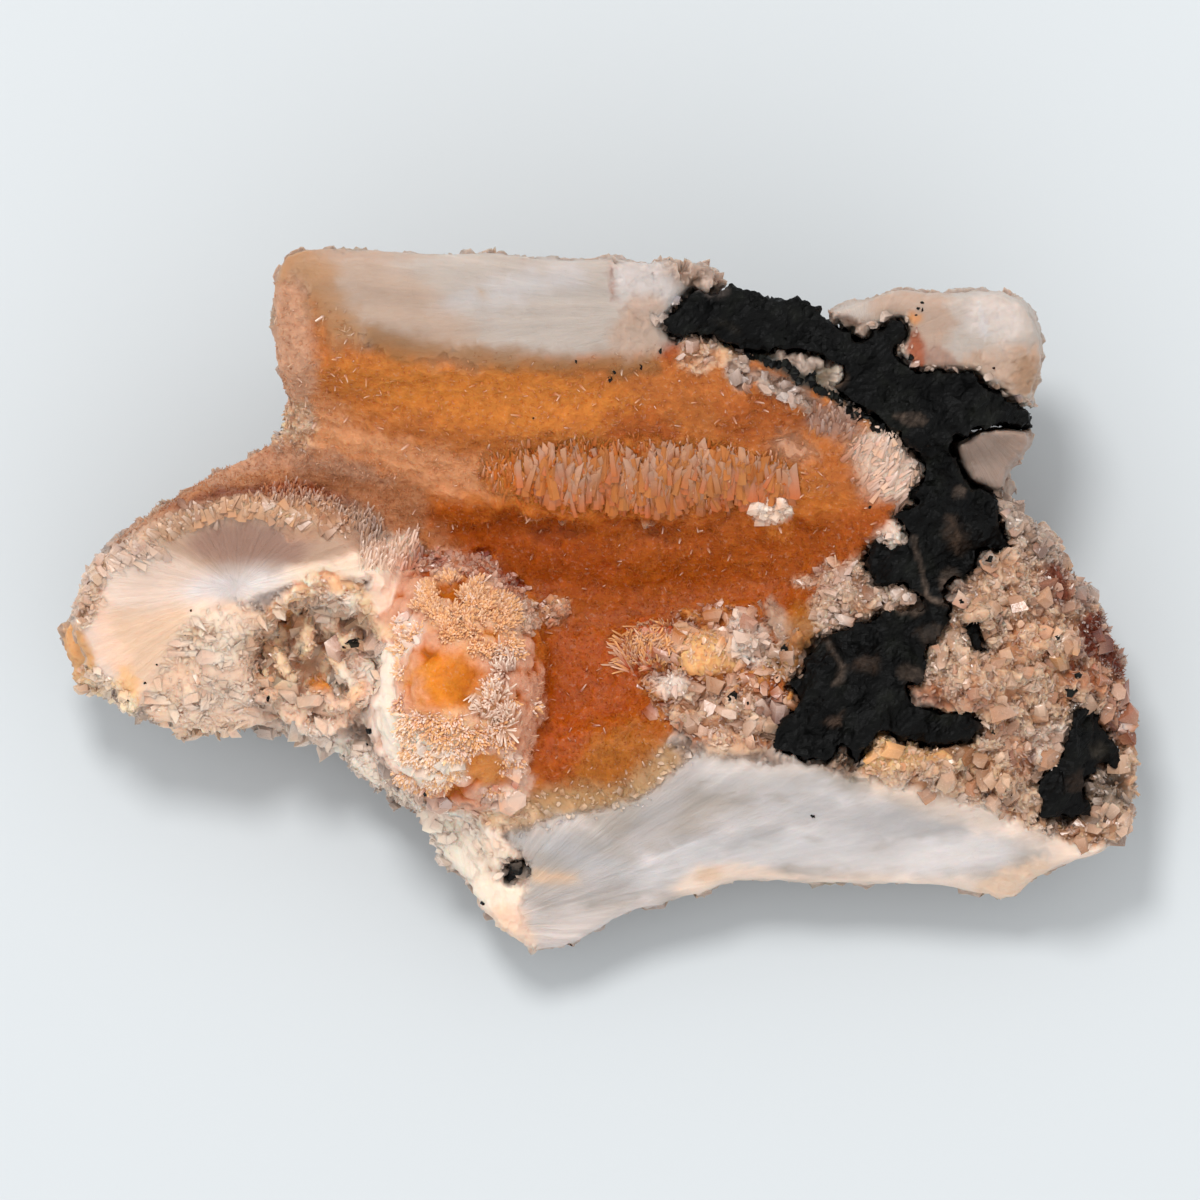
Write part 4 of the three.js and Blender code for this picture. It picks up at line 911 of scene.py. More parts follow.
@dataclass(frozen=True)
class CrystalFinish:
    """Cloudy crystals, coloured one by one.

    soft is how much their faces are shaded as the ground below them is, as cloudy mineral glows from
    within and doesn't show its faces sharply. glow is how much light scatters below their faces, and
    glow_depth how deep, in metres. coat and shine are their glassy gloss, and grain the clouds in them
    to the metre.
    """

    name: str
    roughness: float = 0.3
    soft: float = 0.45
    glow: float = 0.4
    coat: float = 0.35
    shine: float = 0.5
    grain: float = 900.0
    glow_colour: tuple[float, float, float] = (1.0, 0.9, 0.8)
    glow_depth: float = 0.0004

    def material(self) -> bpy.types.Material:
        """Builds the material.

        Returns:
            The material, which reads the attributes tint and stand.
        """
        made = Recipe(self.name)
        place = made.place()
        cloud = made.noise(place, self.grain, 3.0, 0.6)
        fleck = made.noise(place, self.grain * 4.0, 2.0, 0.6)
        made.set(
            Base_Color=made.dim(made.attribute("tint", "Color"), 0.85 + cloud * 0.3),
            Roughness=self.roughness + (fleck - 0.5) * 0.3,
            Normal=made.bump(cloud * 0.05 + fleck * 0.015, normal=made.leaning(self.soft)),
            Subsurface_Weight=self.glow,
            Subsurface_Radius=self.glow_colour,
            Subsurface_Scale=self.glow_depth,
            Coat_Weight=self.coat,
            Coat_Roughness=0.12,
            Specular_IOR_Level=self.shine,
            IOR=MINERAL_IOR,
        )
        return made.material


@dataclass(frozen=True)
class NeedleFinish(CrystalFinish):
    """Fine needles and dull chips, which neither glow nor shine."""

    glow: float = 0.0
    coat: float = 0.0
    shine: float = 0.15


@dataclass(frozen=True)
class BasaltFinish:
    """Rough, dull black rock, painted with its stains and windows.

    lumps, grit and facets are how many of each there are to the metre.
    """

    name: str = "basalt_rock"
    lumps: float = 450.0
    grit: float = 2100.0
    facets: float = 700.0
    roughness: float = 0.35
    shine: float = 0.12

    def material(self) -> bpy.types.Material:
        """Builds the material.

        Returns:
            The material, which reads the attribute paint.
        """
        made = Recipe(self.name)
        place = made.place()
        lump = made.noise(place, self.lumps, 4.0, 0.65)
        grit = made.noise(place, self.grit, 3.0, 0.65)
        made.set(
            Base_Color=made.dim(made.attribute("paint", "Color"), lump.ramp(0.42, 0.75) * 0.8 + grit * 0.4),
            Roughness=self.roughness + grit * 0.4,
            Normal=made.bump(lump * 0.3 + grit * 0.1 + made.facets(place, self.facets, 0.7)),
            Specular_IOR_Level=self.shine,
        )
        return made.material


@dataclass(frozen=True)
class FloorFinish:
    """The pale matt floor, with the shade that its faint clouds have."""

    name: str = "studio_floor"
    cloud_shade: float = 0.985

    def material(self) -> bpy.types.Material:
        """Builds the material.

        Returns:
            The material.
        """
        made = Recipe(self.name)
        cloud = made.noise(made.place(), 3.0, 2.0, 0.5)
        pale = Pigment.FLOOR.rgba
        dull = tuple(self.cloud_shade * part for part in pale[:3]) + (1.0,)
        made.set(Base_Color=made.mix(cloud, pale, dull), Roughness=0.95, Specular_IOR_Level=0.1)
        return made.material


# Meshes and surfaces.


def dress(piece: bpy.types.Object, slot: str, *nodes: str) -> None:
    """Hangs a piece on the specimen's one body and hides the solids that it stands for.

    Args:
        piece: The piece.
        slot: Not used.
        nodes: The solids that it stands for, if any.
    """
    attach(piece, "root")
    if nodes:
        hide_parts(*nodes)


def put_in_scene(name: str, mesh: bpy.types.Mesh, material: bpy.types.Material) -> bpy.types.Object:
    """Makes an object of a mesh.

    Args:
        name: The piece's name.
        mesh: Its mesh, in metres.
        material: Its finish.

    Returns:
        The object, at the origin.
    """
    mesh.materials.clear()
    mesh.materials.append(material)
    piece = bpy.data.objects.new(name, mesh)
    bpy.context.collection.objects.link(piece)
    return piece


def keep_values(mesh: bpy.types.Mesh, name: str, kind: str, values: np.ndarray) -> None:
    """Stores one value for each vertex on a mesh.

    Args:
        mesh: The mesh.
        name: The attribute's name.
        kind: FLOAT, FLOAT_VECTOR or FLOAT_COLOR.
        values: The values, one row for each vertex.
    """
    layer = mesh.attributes.new(name, kind, "POINT")
    if kind == "FLOAT_COLOR":
        values = np.column_stack([values, np.ones(len(values))])
    layer.data.foreach_set(VALUE_KEYS[kind], np.ascontiguousarray(values, dtype=np.float32).ravel())


def read_out(items: Sequence, key: str, width: int = 3, kind: type = np.float32) -> np.ndarray:
    """Reads a property of each vertex or triangle of a mesh.

    Args:
        items: The vertices or triangles.
        key: The property's name.
        width: How many numbers it has.
        kind: The kind of its numbers.

    Returns:
        One row for each.
    """
    values = np.empty(len(items) * width, dtype=kind)
    items.foreach_get(key, values)
    return values.reshape(-1, width)


def kept_values(mesh: bpy.types.Mesh, name: str, width: int) -> np.ndarray:
    """Reads an attribute of a mesh back.

    Args:
        mesh: The mesh.
        name: The attribute's name.
        width: How many numbers it has for each vertex.

    Returns:
        One row for each vertex.
    """
    layer = mesh.attributes[name]
    return read_out(layer.data, VALUE_KEYS[layer.data_type], width).astype(float)


def search_tree(points: np.ndarray) -> kdtree.KDTree:
    """Sorts points so that the nearest one is found fast.

    Args:
        points: The points, n by 3.

    Returns:
        Their search tree.
    """
    tree = kdtree.KDTree(len(points))
    for index, point in enumerate(points.tolist()):
        tree.insert(point, index)
    tree.balance()
    return tree


@dataclass
class Skin:
    """A surface as triangles, in millimetres, for crystals to be strewn on.

    paint is its colour and gaps its distance from the basalt, at each vertex.
    """

    points: np.ndarray
    normals: np.ndarray
    corners: np.ndarray
    paint: np.ndarray
    gaps: np.ndarray

    @classmethod
    def of(cls, mesh: bpy.types.Mesh, paint: np.ndarray | None = None,
           gaps: np.ndarray | None = None) -> "Skin":
        """Reads a mesh.

        Args:
            mesh: The mesh, in metres.
            paint: Its colour at each vertex, if it has been worked out.
            gaps: How far each vertex is from the basalt, if that has been worked out.

        Returns:
            Its skin.
        """
        mesh.calc_loop_triangles()
        points = read_out(mesh.vertices, "co").astype(float) / MM
        normals = read_out(mesh.vertices, "normal").astype(float)
        corners = read_out(mesh.loop_triangles, "vertices", kind=np.int32)
        paint = points if paint is None else paint
        return cls(points, normals, corners, paint, points[:, 0] if gaps is None else gaps)

    @classmethod
    def joined(cls, skins: Sequence["Skin"]) -> "Skin":
        """Several skins as one.

        Args:
            skins: The skins.

        Returns:
            All their triangles.
        """
        starts = np.cumsum([0] + [len(skin.points) for skin in skins[:-1]])
        return cls(
            np.vstack([skin.points for skin in skins]),
            np.vstack([skin.normals for skin in skins]),
            np.vstack([skin.corners + start for skin, start in zip(skins, starts)]),
            np.vstack([skin.paint for skin in skins]),
            np.concatenate([skin.gaps for skin in skins]),
        )

    def centres(self) -> np.ndarray:
        """The middle of each triangle."""
        return self.points[self.corners].mean(axis=1)

    def slants(self) -> np.ndarray:
        """The unit normal of each triangle, smoothed."""
        mean = self.normals[self.corners].mean(axis=1)
        return unit(mean)

    def tones(self) -> np.ndarray:
        """The colour of each triangle."""
        return self.paint[self.corners].mean(axis=1)

    def areas(self) -> np.ndarray:
        """The area of each triangle."""
        a, b, c = (self.points[self.corners[:, i]] for i in range(3))
        return np.linalg.norm(np.cross(b - a, c - a), axis=1) / 2

    def pick(self, weights: np.ndarray, count: int,
             dice: np.random.Generator) -> tuple[np.ndarray, np.ndarray]:
        """Draws points on the skin.

        Args:
            weights: How likely each triangle is, for its area.
            count: How many points.
            dice: The source of chance.

        Returns:
            The points and the triangles that they are on.
        """
        odds = np.cumsum(self.areas() * weights)
        chosen = np.searchsorted(odds, dice.random(count) * odds[-1])
        share = dice.random((count, 2))
        flip = share.sum(axis=1) > 1
        share[flip] = 1 - share[flip]
        first, second, third = (self.points[self.corners[chosen, i]] for i in range(3))
        spots = first + share[:, :1] * (second - first) + share[:, 1:] * (third - first)
        return spots, chosen


@dataclass
class Contact:
    """The basalt's skins, and how far other things are from them, up to a reach in millimetres."""

    rocks: Sequence[Skin]
    reach: float = 2.0

    def gaps(self, points: np.ndarray) -> np.ndarray:
        """Distance from each point to the basalt.

        Args:
            points: Places in millimetres.

        Returns:
            The distances, and the reach where it is further off.
        """
        found = np.full(len(points), self.reach)
        for rock in self.rocks:
            low, high = rock.points.min(axis=0) - self.reach, rock.points.max(axis=0) + self.reach
            tree = search_tree(rock.points)
            near = np.flatnonzero(np.all((points > low) & (points < high), axis=1))
            reached = np.array([tree.find(point)[2] for point in points[near].tolist()])
            found[near] = np.minimum(found[near], reached)
        return found


def modified(mesh: bpy.types.Mesh, kind: str, **settings: object) -> bpy.types.Mesh:
    """Puts a mesh through one modifier.

    Args:
        mesh: The mesh, which is given up.
        kind: The modifier's type.
        settings: Its properties.

    Returns:
        The new mesh.
    """
    blank = bpy.data.objects.new(mesh.name, mesh)
    bpy.context.collection.objects.link(blank)
    modifier = blank.modifiers.new(kind.lower(), kind)
    for key, value in settings.items():
        setattr(modifier, key, value)
    made = bpy.data.meshes.new_from_object(blank.evaluated_get(bpy.context.evaluated_depsgraph_get()))
    bpy.data.objects.remove(blank)
    bpy.data.meshes.remove(mesh)
    return made


def fine_copy(node: str, name: str, voxel: float, smoothing: int, seen_from: float) -> bpy.types.Mesh:
    """Copies a solid as an even, dense mesh, finer where it is seen from above.

    Args:
        node: The solid's name.
        name: The copy's name.
        voxel: The size of the even mesh's faces, in millimetres.
        smoothing: How many times it is smoothed.
        seen_from: The upward share of a face's normal from which it is split once more.

    Returns:
        The copy, in metres.
    """
    body = bmesh.new()
    body.from_mesh(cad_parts[node].data)
    bmesh.ops.remove_doubles(body, verts=body.verts, dist=1e-7)
    coarse = bpy.data.meshes.new(node + "_coarse")
    body.to_mesh(coarse)
    body.free()
    even = modified(coarse, "REMESH", mode="VOXEL", voxel_size=voxel * MM)
    fine = bmesh.new()
    fine.from_mesh(even)
    bpy.data.meshes.remove(even)
    level = {"factor": 0.5, "use_axis_x": True, "use_axis_y": True, "use_axis_z": True}
    for _ in range(smoothing):
        bmesh.ops.smooth_vert(fine, verts=fine.verts, **level)
    fine.normal_update()
    upper = {edge for face in fine.faces if face.normal.z > seen_from for edge in face.edges}
    if upper:
        bmesh.ops.subdivide_edges(fine, edges=list(upper), cuts=1, use_grid_fill=True, smooth=0.0)
        bmesh.ops.smooth_vert(fine, verts=fine.verts, **level)
    mesh = bpy.data.meshes.new(name)
    fine.to_mesh(mesh)
    fine.free()
    return mesh


def thinned(mesh: bpy.types.Mesh, most: int) -> bpy.types.Mesh:
    """Merges the smallest faces of a mesh until it is under a number of triangles.

    Args:
        mesh: The mesh, which is given up.
        most: The most triangles.

    Returns:
        The thinner mesh, with the same name and attributes.
    """
    mesh.calc_loop_triangles()
    share = most / len(mesh.loop_triangles)
    if share >= 1.0:
        return mesh
    name = mesh.name
    mesh.name = name + "_dense"
    thin = modified(mesh, "DECIMATE", ratio=share)
    thin.name = name
    return thin


def moved_out(mesh: bpy.types.Mesh, skin: Skin, lift: np.ndarray) -> None:
    """Moves each vertex along its normal, and none below the ground.

    Args:
        mesh: The mesh.
        skin: Its skin.
        lift: How far each vertex goes, in millimetres.
    """
    moved = skin.points + skin.normals * lift[:, None]
    moved[:, 2] = np.maximum(moved[:, 2], 0.0)
    mesh.vertices.foreach_set("co", (moved * MM).astype(np.float32).ravel())
    mesh.update()


@dataclass
class GrownPiece:
    """A fine copy of a grown solid, carved and painted by the plan.

    voxel, smoothing and seen_from are those of fine_copy, and most is the most triangles. The heights
    are how far each texture is raised, in millimetres, and swell how far all of it is. block_gap and
    dome_gap are the spacing of vertices that blocks and domes are counted by. pit_shade is how much
    painted shade darkens the hollows of the relief and painted light lightens its raised parts, and
    druse_shade how much more so in druse. cream_and_highlight_share is how far the tops of domes take
    the pale colour of their tips with a painted highlight, and orange_and_shade_share how far the clefts
    between them take the deep orange of the ground with painted shade. contact_fade is how far from the
    basalt its stain starts to fade and ends.
    """

    name: str
    node: str
    slot: str
    chart: Chart
    contact: Contact
    voxel: float = 0.5
    smoothing: int = 8
    seen_from: float = -0.15
    most: int = 197_000
    swell: float = 0.06
    silk_wave: float = 0.08
    rib_height: float = 0.3
    velvet_height: float = 0.16
    block_height: float = 1.0
    block_sizes: tuple[float, float] = (1.9, 0.95)
    block_share: float = 0.45
    block_gap: float = 0.27
    plain_height: float = 0.25
    dome_height: float = 1.0
    dome_size: float = 1.6
    dome_gap: float = 0.3
    ledge_height: float = 0.55
    fine_height: float = 0.12
    pit_shade: float = 0.25
    druse_shade: float = 0.35
    cream_and_highlight_share: float = 0.4
    orange_and_shade_share: float = 0.9
    contact_fade: tuple[float, float] = (0.25, 0.55)
    seed: int = 7

    def blocks(self, skin: Skin, size: float, dice: np.random.Generator) -> np.ndarray:
        """Heights of flat broken blocks, each tilted its own way.

        Args:
            skin: The surface.
            size: How wide they are, in millimetres.
            dice: The source of chance.

        Returns:
            A height for each vertex, in millimetres.
        """
        count = max(int(len(skin.points) * (self.block_gap / size) ** 2), 8)
        centres = skin.points[dice.choice(len(skin.points), count, replace=False)]
        tree = search_tree(centres)
        nearest = np.array([tree.find(point)[1] for point in skin.points.tolist()])
        tilts = dice.normal(0.0, 0.5, (count, 3))
        steps = dice.uniform(-0.5, 0.5, count) * size
        arms = skin.points - centres[nearest]
        across = arms - (arms * skin.normals).sum(axis=1, keepdims=True) * skin.normals
        heights = steps[nearest] + (across * tilts[nearest]).sum(axis=1)
        return np.clip(heights, -size, size)

    def domes(self, points: np.ndarray, mask: np.ndarray, dice: np.random.Generator) -> np.ndarray:
        """Heights of small round tufts that stand side by side.

        Args:
            points: Places on the surface.
            mask: Where there are tufts.
            dice: The source of chance.

        Returns:
            From 0 between tufts to 1 on top of one, for each place.
        """
        heights = np.zeros(len(points))
        busy = np.flatnonzero(mask > 0.01)
        if len(busy) < 8:
            return heights
        count = max(int(len(busy) * (self.dome_gap / self.dome_size) ** 2), 4)
        tree = search_tree(points[dice.choice(busy, count, replace=False)])
        off = np.array([tree.find(point)[2] for point in points[busy].tolist()])
        heights[busy] = np.sqrt(np.clip(1.0 - (off / (0.75 * self.dome_size)) ** 2, 0.0, 1.0))
        return heights

    def build(self) -> tuple[bpy.types.Object, Skin]:
        """Makes the piece.

        Returns:
            The piece and its skin.
        """
        dice = np.random.default_rng(self.seed)
        mesh = fine_copy(self.node, self.name, self.voxel, self.smoothing, self.seen_from)
        mesh.shade_smooth()
        skin = Skin.of(mesh)
        points = skin.points
        zones = self.chart.read(points, skin.normals[:, 2], earthy(points))
        plain, silk, velvet, druse, ribs, tufts = (zones.mask(texture) for texture in Texture)
        side = 1.0 - smoothstep(*GIRTH_FADE, skin.normals[:, 2])
        spread = fractal(zones.fan, 1.0, 4)
        domes = self.domes(points, tufts, dice)
        blocky = sum(self.block_share * self.blocks(skin, size, dice) for size in self.block_sizes)
        lift = (
            self.swell
            + silk * self.silk_wave * spread
            + ribs * self.rib_height * spread
            + tufts * self.dome_height * (domes - 0.6)
            + velvet * self.velvet_height * fractal(points, 0.8, 3)
            + (druse * self.block_height + plain * self.plain_height) * blocky
            + side * self.ledge_height * fractal(points, 0.3, 4, 3.0)
            + (1 - silk) * self.fine_height * fractal(points, 1.6, 2, 17.0)
        )
        moved_out(mesh, skin, lift)
        # Painted shade and light: the paint is darkened in the hollows of the carved relief and lightened on
        # its raised parts.
        rough = velvet + druse + ribs + 0.5 * plain
        painted_relief_shade = rough * (0.5 - smoothstep(-0.5, 0.5, lift)) + tufts * (0.7 - domes)
        paint = zones.paint ** (1.0 + ((self.pit_shade + self.druse_shade * druse) * painted_relief_shade)[:, None])
        # Partly the tufts' own colours and partly painted light: their tops are lightened to pale cream with
        # a painted highlight, and the clefts between them deepened to orange with painted shade.
        tops = (tufts * smoothstep(0.5, 0.95, domes) * self.cream_and_highlight_share)[:, None]
        paint += tops * (Pigment.SHELL.linear - paint)
        clefts = (tufts * smoothstep(0.75, 0.2, domes) * self.orange_and_shade_share)[:, None]
        paint += clefts * (Pigment.MIDDLE_DEEP.linear - paint)
        gaps = self.contact.gaps(points)
        ragged = gaps + 0.15 * fractal(points, 1.4, 2, 41.0)
        paint += (1.0 - smoothstep(*self.contact_fade, ragged))[:, None] * (Pigment.ROCK_OLIVE.linear - paint)
        keep_values(mesh, "paint", "FLOAT_COLOR", paint)
        keep_values(mesh, "fan", "FLOAT_VECTOR", zones.fan)
        for texture in list(Texture)[1:]:
            keep_values(mesh, texture.name.lower(), "FLOAT", zones.mask(texture))
        keep_values(mesh, "gap", "FLOAT", gaps)
        mesh = thinned(mesh, self.most)
        piece = put_in_scene(self.name, mesh, GrowthFinish(self.name + "_finish").material())
        dress(piece, self.slot, self.node)
        return piece, Skin.of(mesh, kept_values(mesh, "paint", 4)[:, :3], kept_values(mesh, "gap", 1)[:, 0])


@dataclass
class BasaltPiece:
    """A fine, rugged copy of one of the basalt solids.

    lumps, grit and edge are the heights of its coarse, fine and outer roughness, in millimetres, and
    trim is how far its edges stay back so that they keep to the solid's outline.
    """

    name: str
    node: str
    finish: bpy.types.Material
    voxel: float = 0.3
    smoothing: int = 2
    seen_from: float = 2.0
    swell: float = 0.05
    lumps: float = 0.35
    grit: float = 0.12
    edge: float = 0.6
    trim: float = 0.32

    def build(self) -> tuple[bpy.types.Object, Skin]:
        """Makes the piece.

        Returns:
            The piece and its skin.
        """
        mesh = fine_copy(self.node, self.name, self.voxel, self.smoothing, self.seen_from)
        skin = Skin.of(mesh)
        flank = 1.0 - smoothstep(0.3, 0.8, np.abs(skin.normals[:, 2]))
        lift = (
            self.swell
            + self.lumps * fractal(skin.points, 0.7, 4, 5.0)
            + self.grit * fractal(skin.points, 2.2, 2, 11.0)
            + flank * (self.edge * fractal(skin.points * [1.0, 1.0, 0.3], 1.1, 3, 23.0) - self.trim)
        )
        moved_out(mesh, skin, lift)
        mesh.shade_flat()
        zones = Chart(WINDOWS).read(skin.points, skin.normals[:, 2], rocky(skin.points))
        keep_values(mesh, "paint", "FLOAT_COLOR", zones.paint)
        piece = put_in_scene(self.name, mesh, self.finish)
        dress(piece, "basalt", self.node)
        return piece, Skin.of(mesh, zones.paint)


# Crystals.

SHEAF_WIDTH = 0.3  # how far the crystals of a sheaf stand from its middle, in millimetres
SHEAF_SPLAY = 1.0  # how much they lean outwards for that
SHEAF_CORE = 0.55  # sheaves grow where their ground has at least so much of its greatest strength
FAN_RISE = 0.3  # how much of the ground's normal is in the direction of a flat fan
TUMBLE_RISE = 0.8  # how much of it is in the direction of a tumbled crystal
CLUMP_PITCH = 0.55  # tufts to the millimetre
FAIR_FROM = (0.35, 0.8)  # shares of the ground by lightness between which a fair crop sets in
SLENDER = 0.4  # how much of a crystal's length is by chance and not by its width
TONE_SPREAD = (0.86, 1.14)  # darkest and lightest crystal
FOOT_SPREAD = (0.8, 1.1)  # darkest and lightest foot for its ground


class Habit(Enum):
    """The form of a single crystal: its sides, the width of its tip and the slant of its end."""

    NEEDLE = (3, 0.0, 0.0)
    SPLINTER = (4, 0.45, 0.5)
    COLUMN = (5, 0.8, 0.6)
    BLOCK = (4, 0.9, 0.7)
    CHUNK = (5, 0.7, 0.8)
    PLATE = (6, 0.85, 0.6)

    def template(self) -> tuple[np.ndarray, np.ndarray]:
        """Builds one crystal, one high and two wide, with its foot at the origin.

        Returns:
            Its vertices and its triangles.
        """
        sides, tip, slant = self.value
        body = bmesh.new()
        bmesh.ops.create_cone(body, cap_ends=True, segments=sides, radius1=1.0, radius2=tip, depth=1.0)
        bmesh.ops.remove_doubles(body, verts=body.verts, dist=1e-4)
        bmesh.ops.translate(body, verts=body.verts, vec=(0.0, 0.0, 0.5))
        for vert in body.verts:
            if vert.co.z > 0.5:
                vert.co.z -= slant * (1.0 - vert.co.x) * 0.3
        bmesh.ops.triangulate(body, faces=body.faces)
        bmesh.ops.recalc_face_normals(body, faces=body.faces)
        points = np.array([vert.co[:] for vert in body.verts])
        corners = np.array([[vert.index for vert in face.verts] for face in body.faces])
        body.free()
        return points, corners


@dataclass
class Crop:
    """A crop of like crystals on one stretch of ground, made as a single mesh.

    Widths and lengths are millimetres, least and most. A crystal takes its colour from the ground that
    it stands on, and blend is how much of a tone of its own its tip has; the lighter tip this gives is
    partly its own pale tone and partly a painted glow. spread is how far crystals lean off their lay,
    sink how much of each is below ground, clump how strongly they gather in tufts, thin the least and
    most thickness for the width, jitter how irregular each one is, and rare how much rarer the large
    ones are. sheaf is how many splay out of one spot. root is how bright a foot is for its ground, and
    flush how much deeper its colour is, partly as painted shade where the crystal meets its ground. A
    reach keeps the crop to ground that is so near the basalt, a box to a part of the plan and least_up
    to faces that look up so far, and a fair crop grows on the lighter tops of its ground.
    """

    name: str
    habit: Habit
    ground: tuple[str, ...]
    count: int
    width: tuple[float, float]
    length: tuple[float, float]
    tones: tuple[Pigment, ...]
    blend: float = 0.35
    root: float = 0.85
    lay: Lay = Lay.OUTWARD
    centre: tuple[float, float, float] = (0.0, 0.0, 0.0)
    spread: float = 0.35
    sink: float = 0.25
    clump: float = 0.0
    thin: tuple[float, float] = (1.0, 1.0)
    jitter: float = 0.0
    rare: float = 1.0
    reach: float = 0.0
    fair: bool = False
    sheaf: int = 1
    flush: float = 1.15
    box: tuple[float, float, float, float] = EVERYWHERE
    least_up: float = -0.1
    slot: str = "thomsonite"
    seed: int = 1
    finish: CrystalFinish = CrystalFinish("crystal")

    def directions(self, spots: np.ndarray, normals: np.ndarray, dice: np.random.Generator) -> np.ndarray:
        """The way that each crystal grows.

        Args:
            spots: Where they stand.
            normals: The surface's normals there.
            dice: The source of chance.

        Returns:
            Unit vectors.
        """
        centre = np.array(self.centre)
        if self.lay is Lay.ALONG:
            way = np.tile(centre, (len(spots), 1))
        elif self.lay is Lay.RADIAL:
            way = unit(spots - centre)
        elif self.lay is Lay.FLAT_FAN:
            arm = unit(spots - centre)
            way = unit(arm - (arm * normals).sum(axis=1, keepdims=True) * normals) + FAN_RISE * normals
        elif self.lay is Lay.TUMBLED:
            way = unit(dice.normal(0.0, 1.0, (len(spots), 3))) + TUMBLE_RISE * normals
        else:
            way = normals
        return unit(unit(way) + dice.normal(0.0, self.spread, (len(spots), 3)))

    def odds(self, skin: Skin, chart: Chart) -> np.ndarray:
        """How likely a crystal is to stand on each triangle of the surface, for its area.

        Args:
            skin: The surface.
            chart: The plan of the zones.

        Returns:
            One weight for each triangle.
        """
        centres = skin.centres()
        left, front, right, back = self.box
        weights = chart.ground(self.ground, centres) * (skin.slants()[:, 2] > self.least_up)
        weights *= (centres[:, 0] > left) & (centres[:, 0] < right)
        weights *= (centres[:, 1] > front) & (centres[:, 1] < back)
        if self.reach:
            weights *= skin.gaps[skin.corners].mean(axis=1) < self.reach
        if self.sheaf > 1:
            weights *= weights > SHEAF_CORE * weights.max()
        busy = weights > 0.01
        if self.fair:
            light = skin.tones().mean(axis=1)
            weights[busy] *= smoothstep(*np.quantile(light[busy], FAIR_FROM), light[busy])
        if self.clump:
            gather = fractal(centres[busy], CLUMP_PITCH, 2, self.seed)
            weights[busy] *= smoothstep(-0.4, 0.5, gather) * self.clump + (1 - self.clump)
        return weights

    def plant(self, skin: Skin, chart: Chart) -> bpy.types.Object:
        """Grows the crop.

        Args:
            skin: The surface that it grows on.
            chart: The plan of the zones.

        Returns:
            The piece.
        """
        dice = np.random.default_rng(self.seed)
        spots, chosen = skin.pick(self.odds(skin, chart), self.count // self.sheaf, dice)
        ways = self.directions(spots, skin.slants()[chosen], dice)
        if self.sheaf > 1:
            spots, chosen, ways = (np.repeat(values, self.sheaf, axis=0) for values in (spots, chosen, ways))
            aside = np.cross(dice.normal(0.0, SHEAF_WIDTH, (self.count, 3)), ways)
            spots, ways = spots + aside, unit(ways + SHEAF_SPLAY * aside)
        share = dice.random(self.count) ** self.rare
        wide = self.width[0] + share * (self.width[1] - self.width[0])
        share = SLENDER * dice.random(self.count) + (1 - SLENDER) * share
        long = self.length[0] + share * (self.length[1] - self.length[0])
        return self.grow(spots, skin.slants()[chosen], ways, wide, long, skin.tones()[chosen], dice)

    def grow(self, spots: np.ndarray, slants: np.ndarray, ways: np.ndarray, wide: np.ndarray,
             long: np.ndarray, ground: np.ndarray, dice: np.random.Generator) -> bpy.types.Object:
        """Stands a crystal on each spot and joins them in one piece.

        Args:
            spots: Where they stand.
            slants: The ground's normals there.
            ways: The directions that they grow in.
            wide: Their widths.
            long: Their lengths.
            ground: The colour of the ground below each.
            dice: The source of chance.

        Returns:
            The piece.
        """
        turn = dice.uniform(0, 2 * math.pi, self.count)
        helper = np.where(np.abs(ways[:, 2:]) < 0.9, [[0.0, 0.0, 1.0]], [[1.0, 0.0, 0.0]])
        across = unit(np.cross(helper, ways))
        aside = np.cross(ways, across)
        cos, sin = np.cos(turn)[:, None], np.sin(turn)[:, None]
        across, aside = cos * across + sin * aside, cos * aside - sin * across
        points, corners = self.habit.template()
        shapes = points[None] + dice.normal(0.0, 1.0, (self.count, *points.shape)) * self.jitter
        thick = wide * dice.uniform(*self.thin, self.count)
        steps = (across * wide[:, None] / 2, aside * thick[:, None] / 2, ways * long[:, None])
        placed = spots[:, None] + sum(
            (shapes[:, :, i : i + 1] - (self.sink if i == 2 else 0.0)) * step[:, None, :]
            for i, step in enumerate(steps)
        )
        tones = np.array([tone.linear for tone in self.tones])[dice.integers(0, len(self.tones), self.count)]
        # The tip is partly the crystal's own tone and partly a painted glow, lighter than its ground; the
        # foot is its ground deepened, partly painted shade where the crystal meets it.
        tip = (ground + self.blend * (tones - ground)) * dice.uniform(*TONE_SPREAD, (self.count, 1))
        foot = self.root * ground**self.flush
        darkest, lightest = (share * foot for share in FOOT_SPREAD)
        start = np.clip((foot - self.sink * tip) / (1.0 - self.sink), darkest, lightest)
        rise = np.clip(points[:, 2], 0.0, 1.0)[None, :, None]
        tint = start[:, None, :] * (1 - rise) + tip[:, None, :] * rise
        mesh = self.mesh_of(placed.reshape(-1, 3), corners, len(points))
        keep_values(mesh, "tint", "FLOAT_COLOR", np.clip(tint.reshape(-1, 3), 0.0, 1.0))
        keep_values(mesh, "stand", "FLOAT_VECTOR", np.repeat(slants, len(points), axis=0))
        piece = put_in_scene(self.name, mesh, self.finish.material())
        dress(piece, self.slot)
        return piece

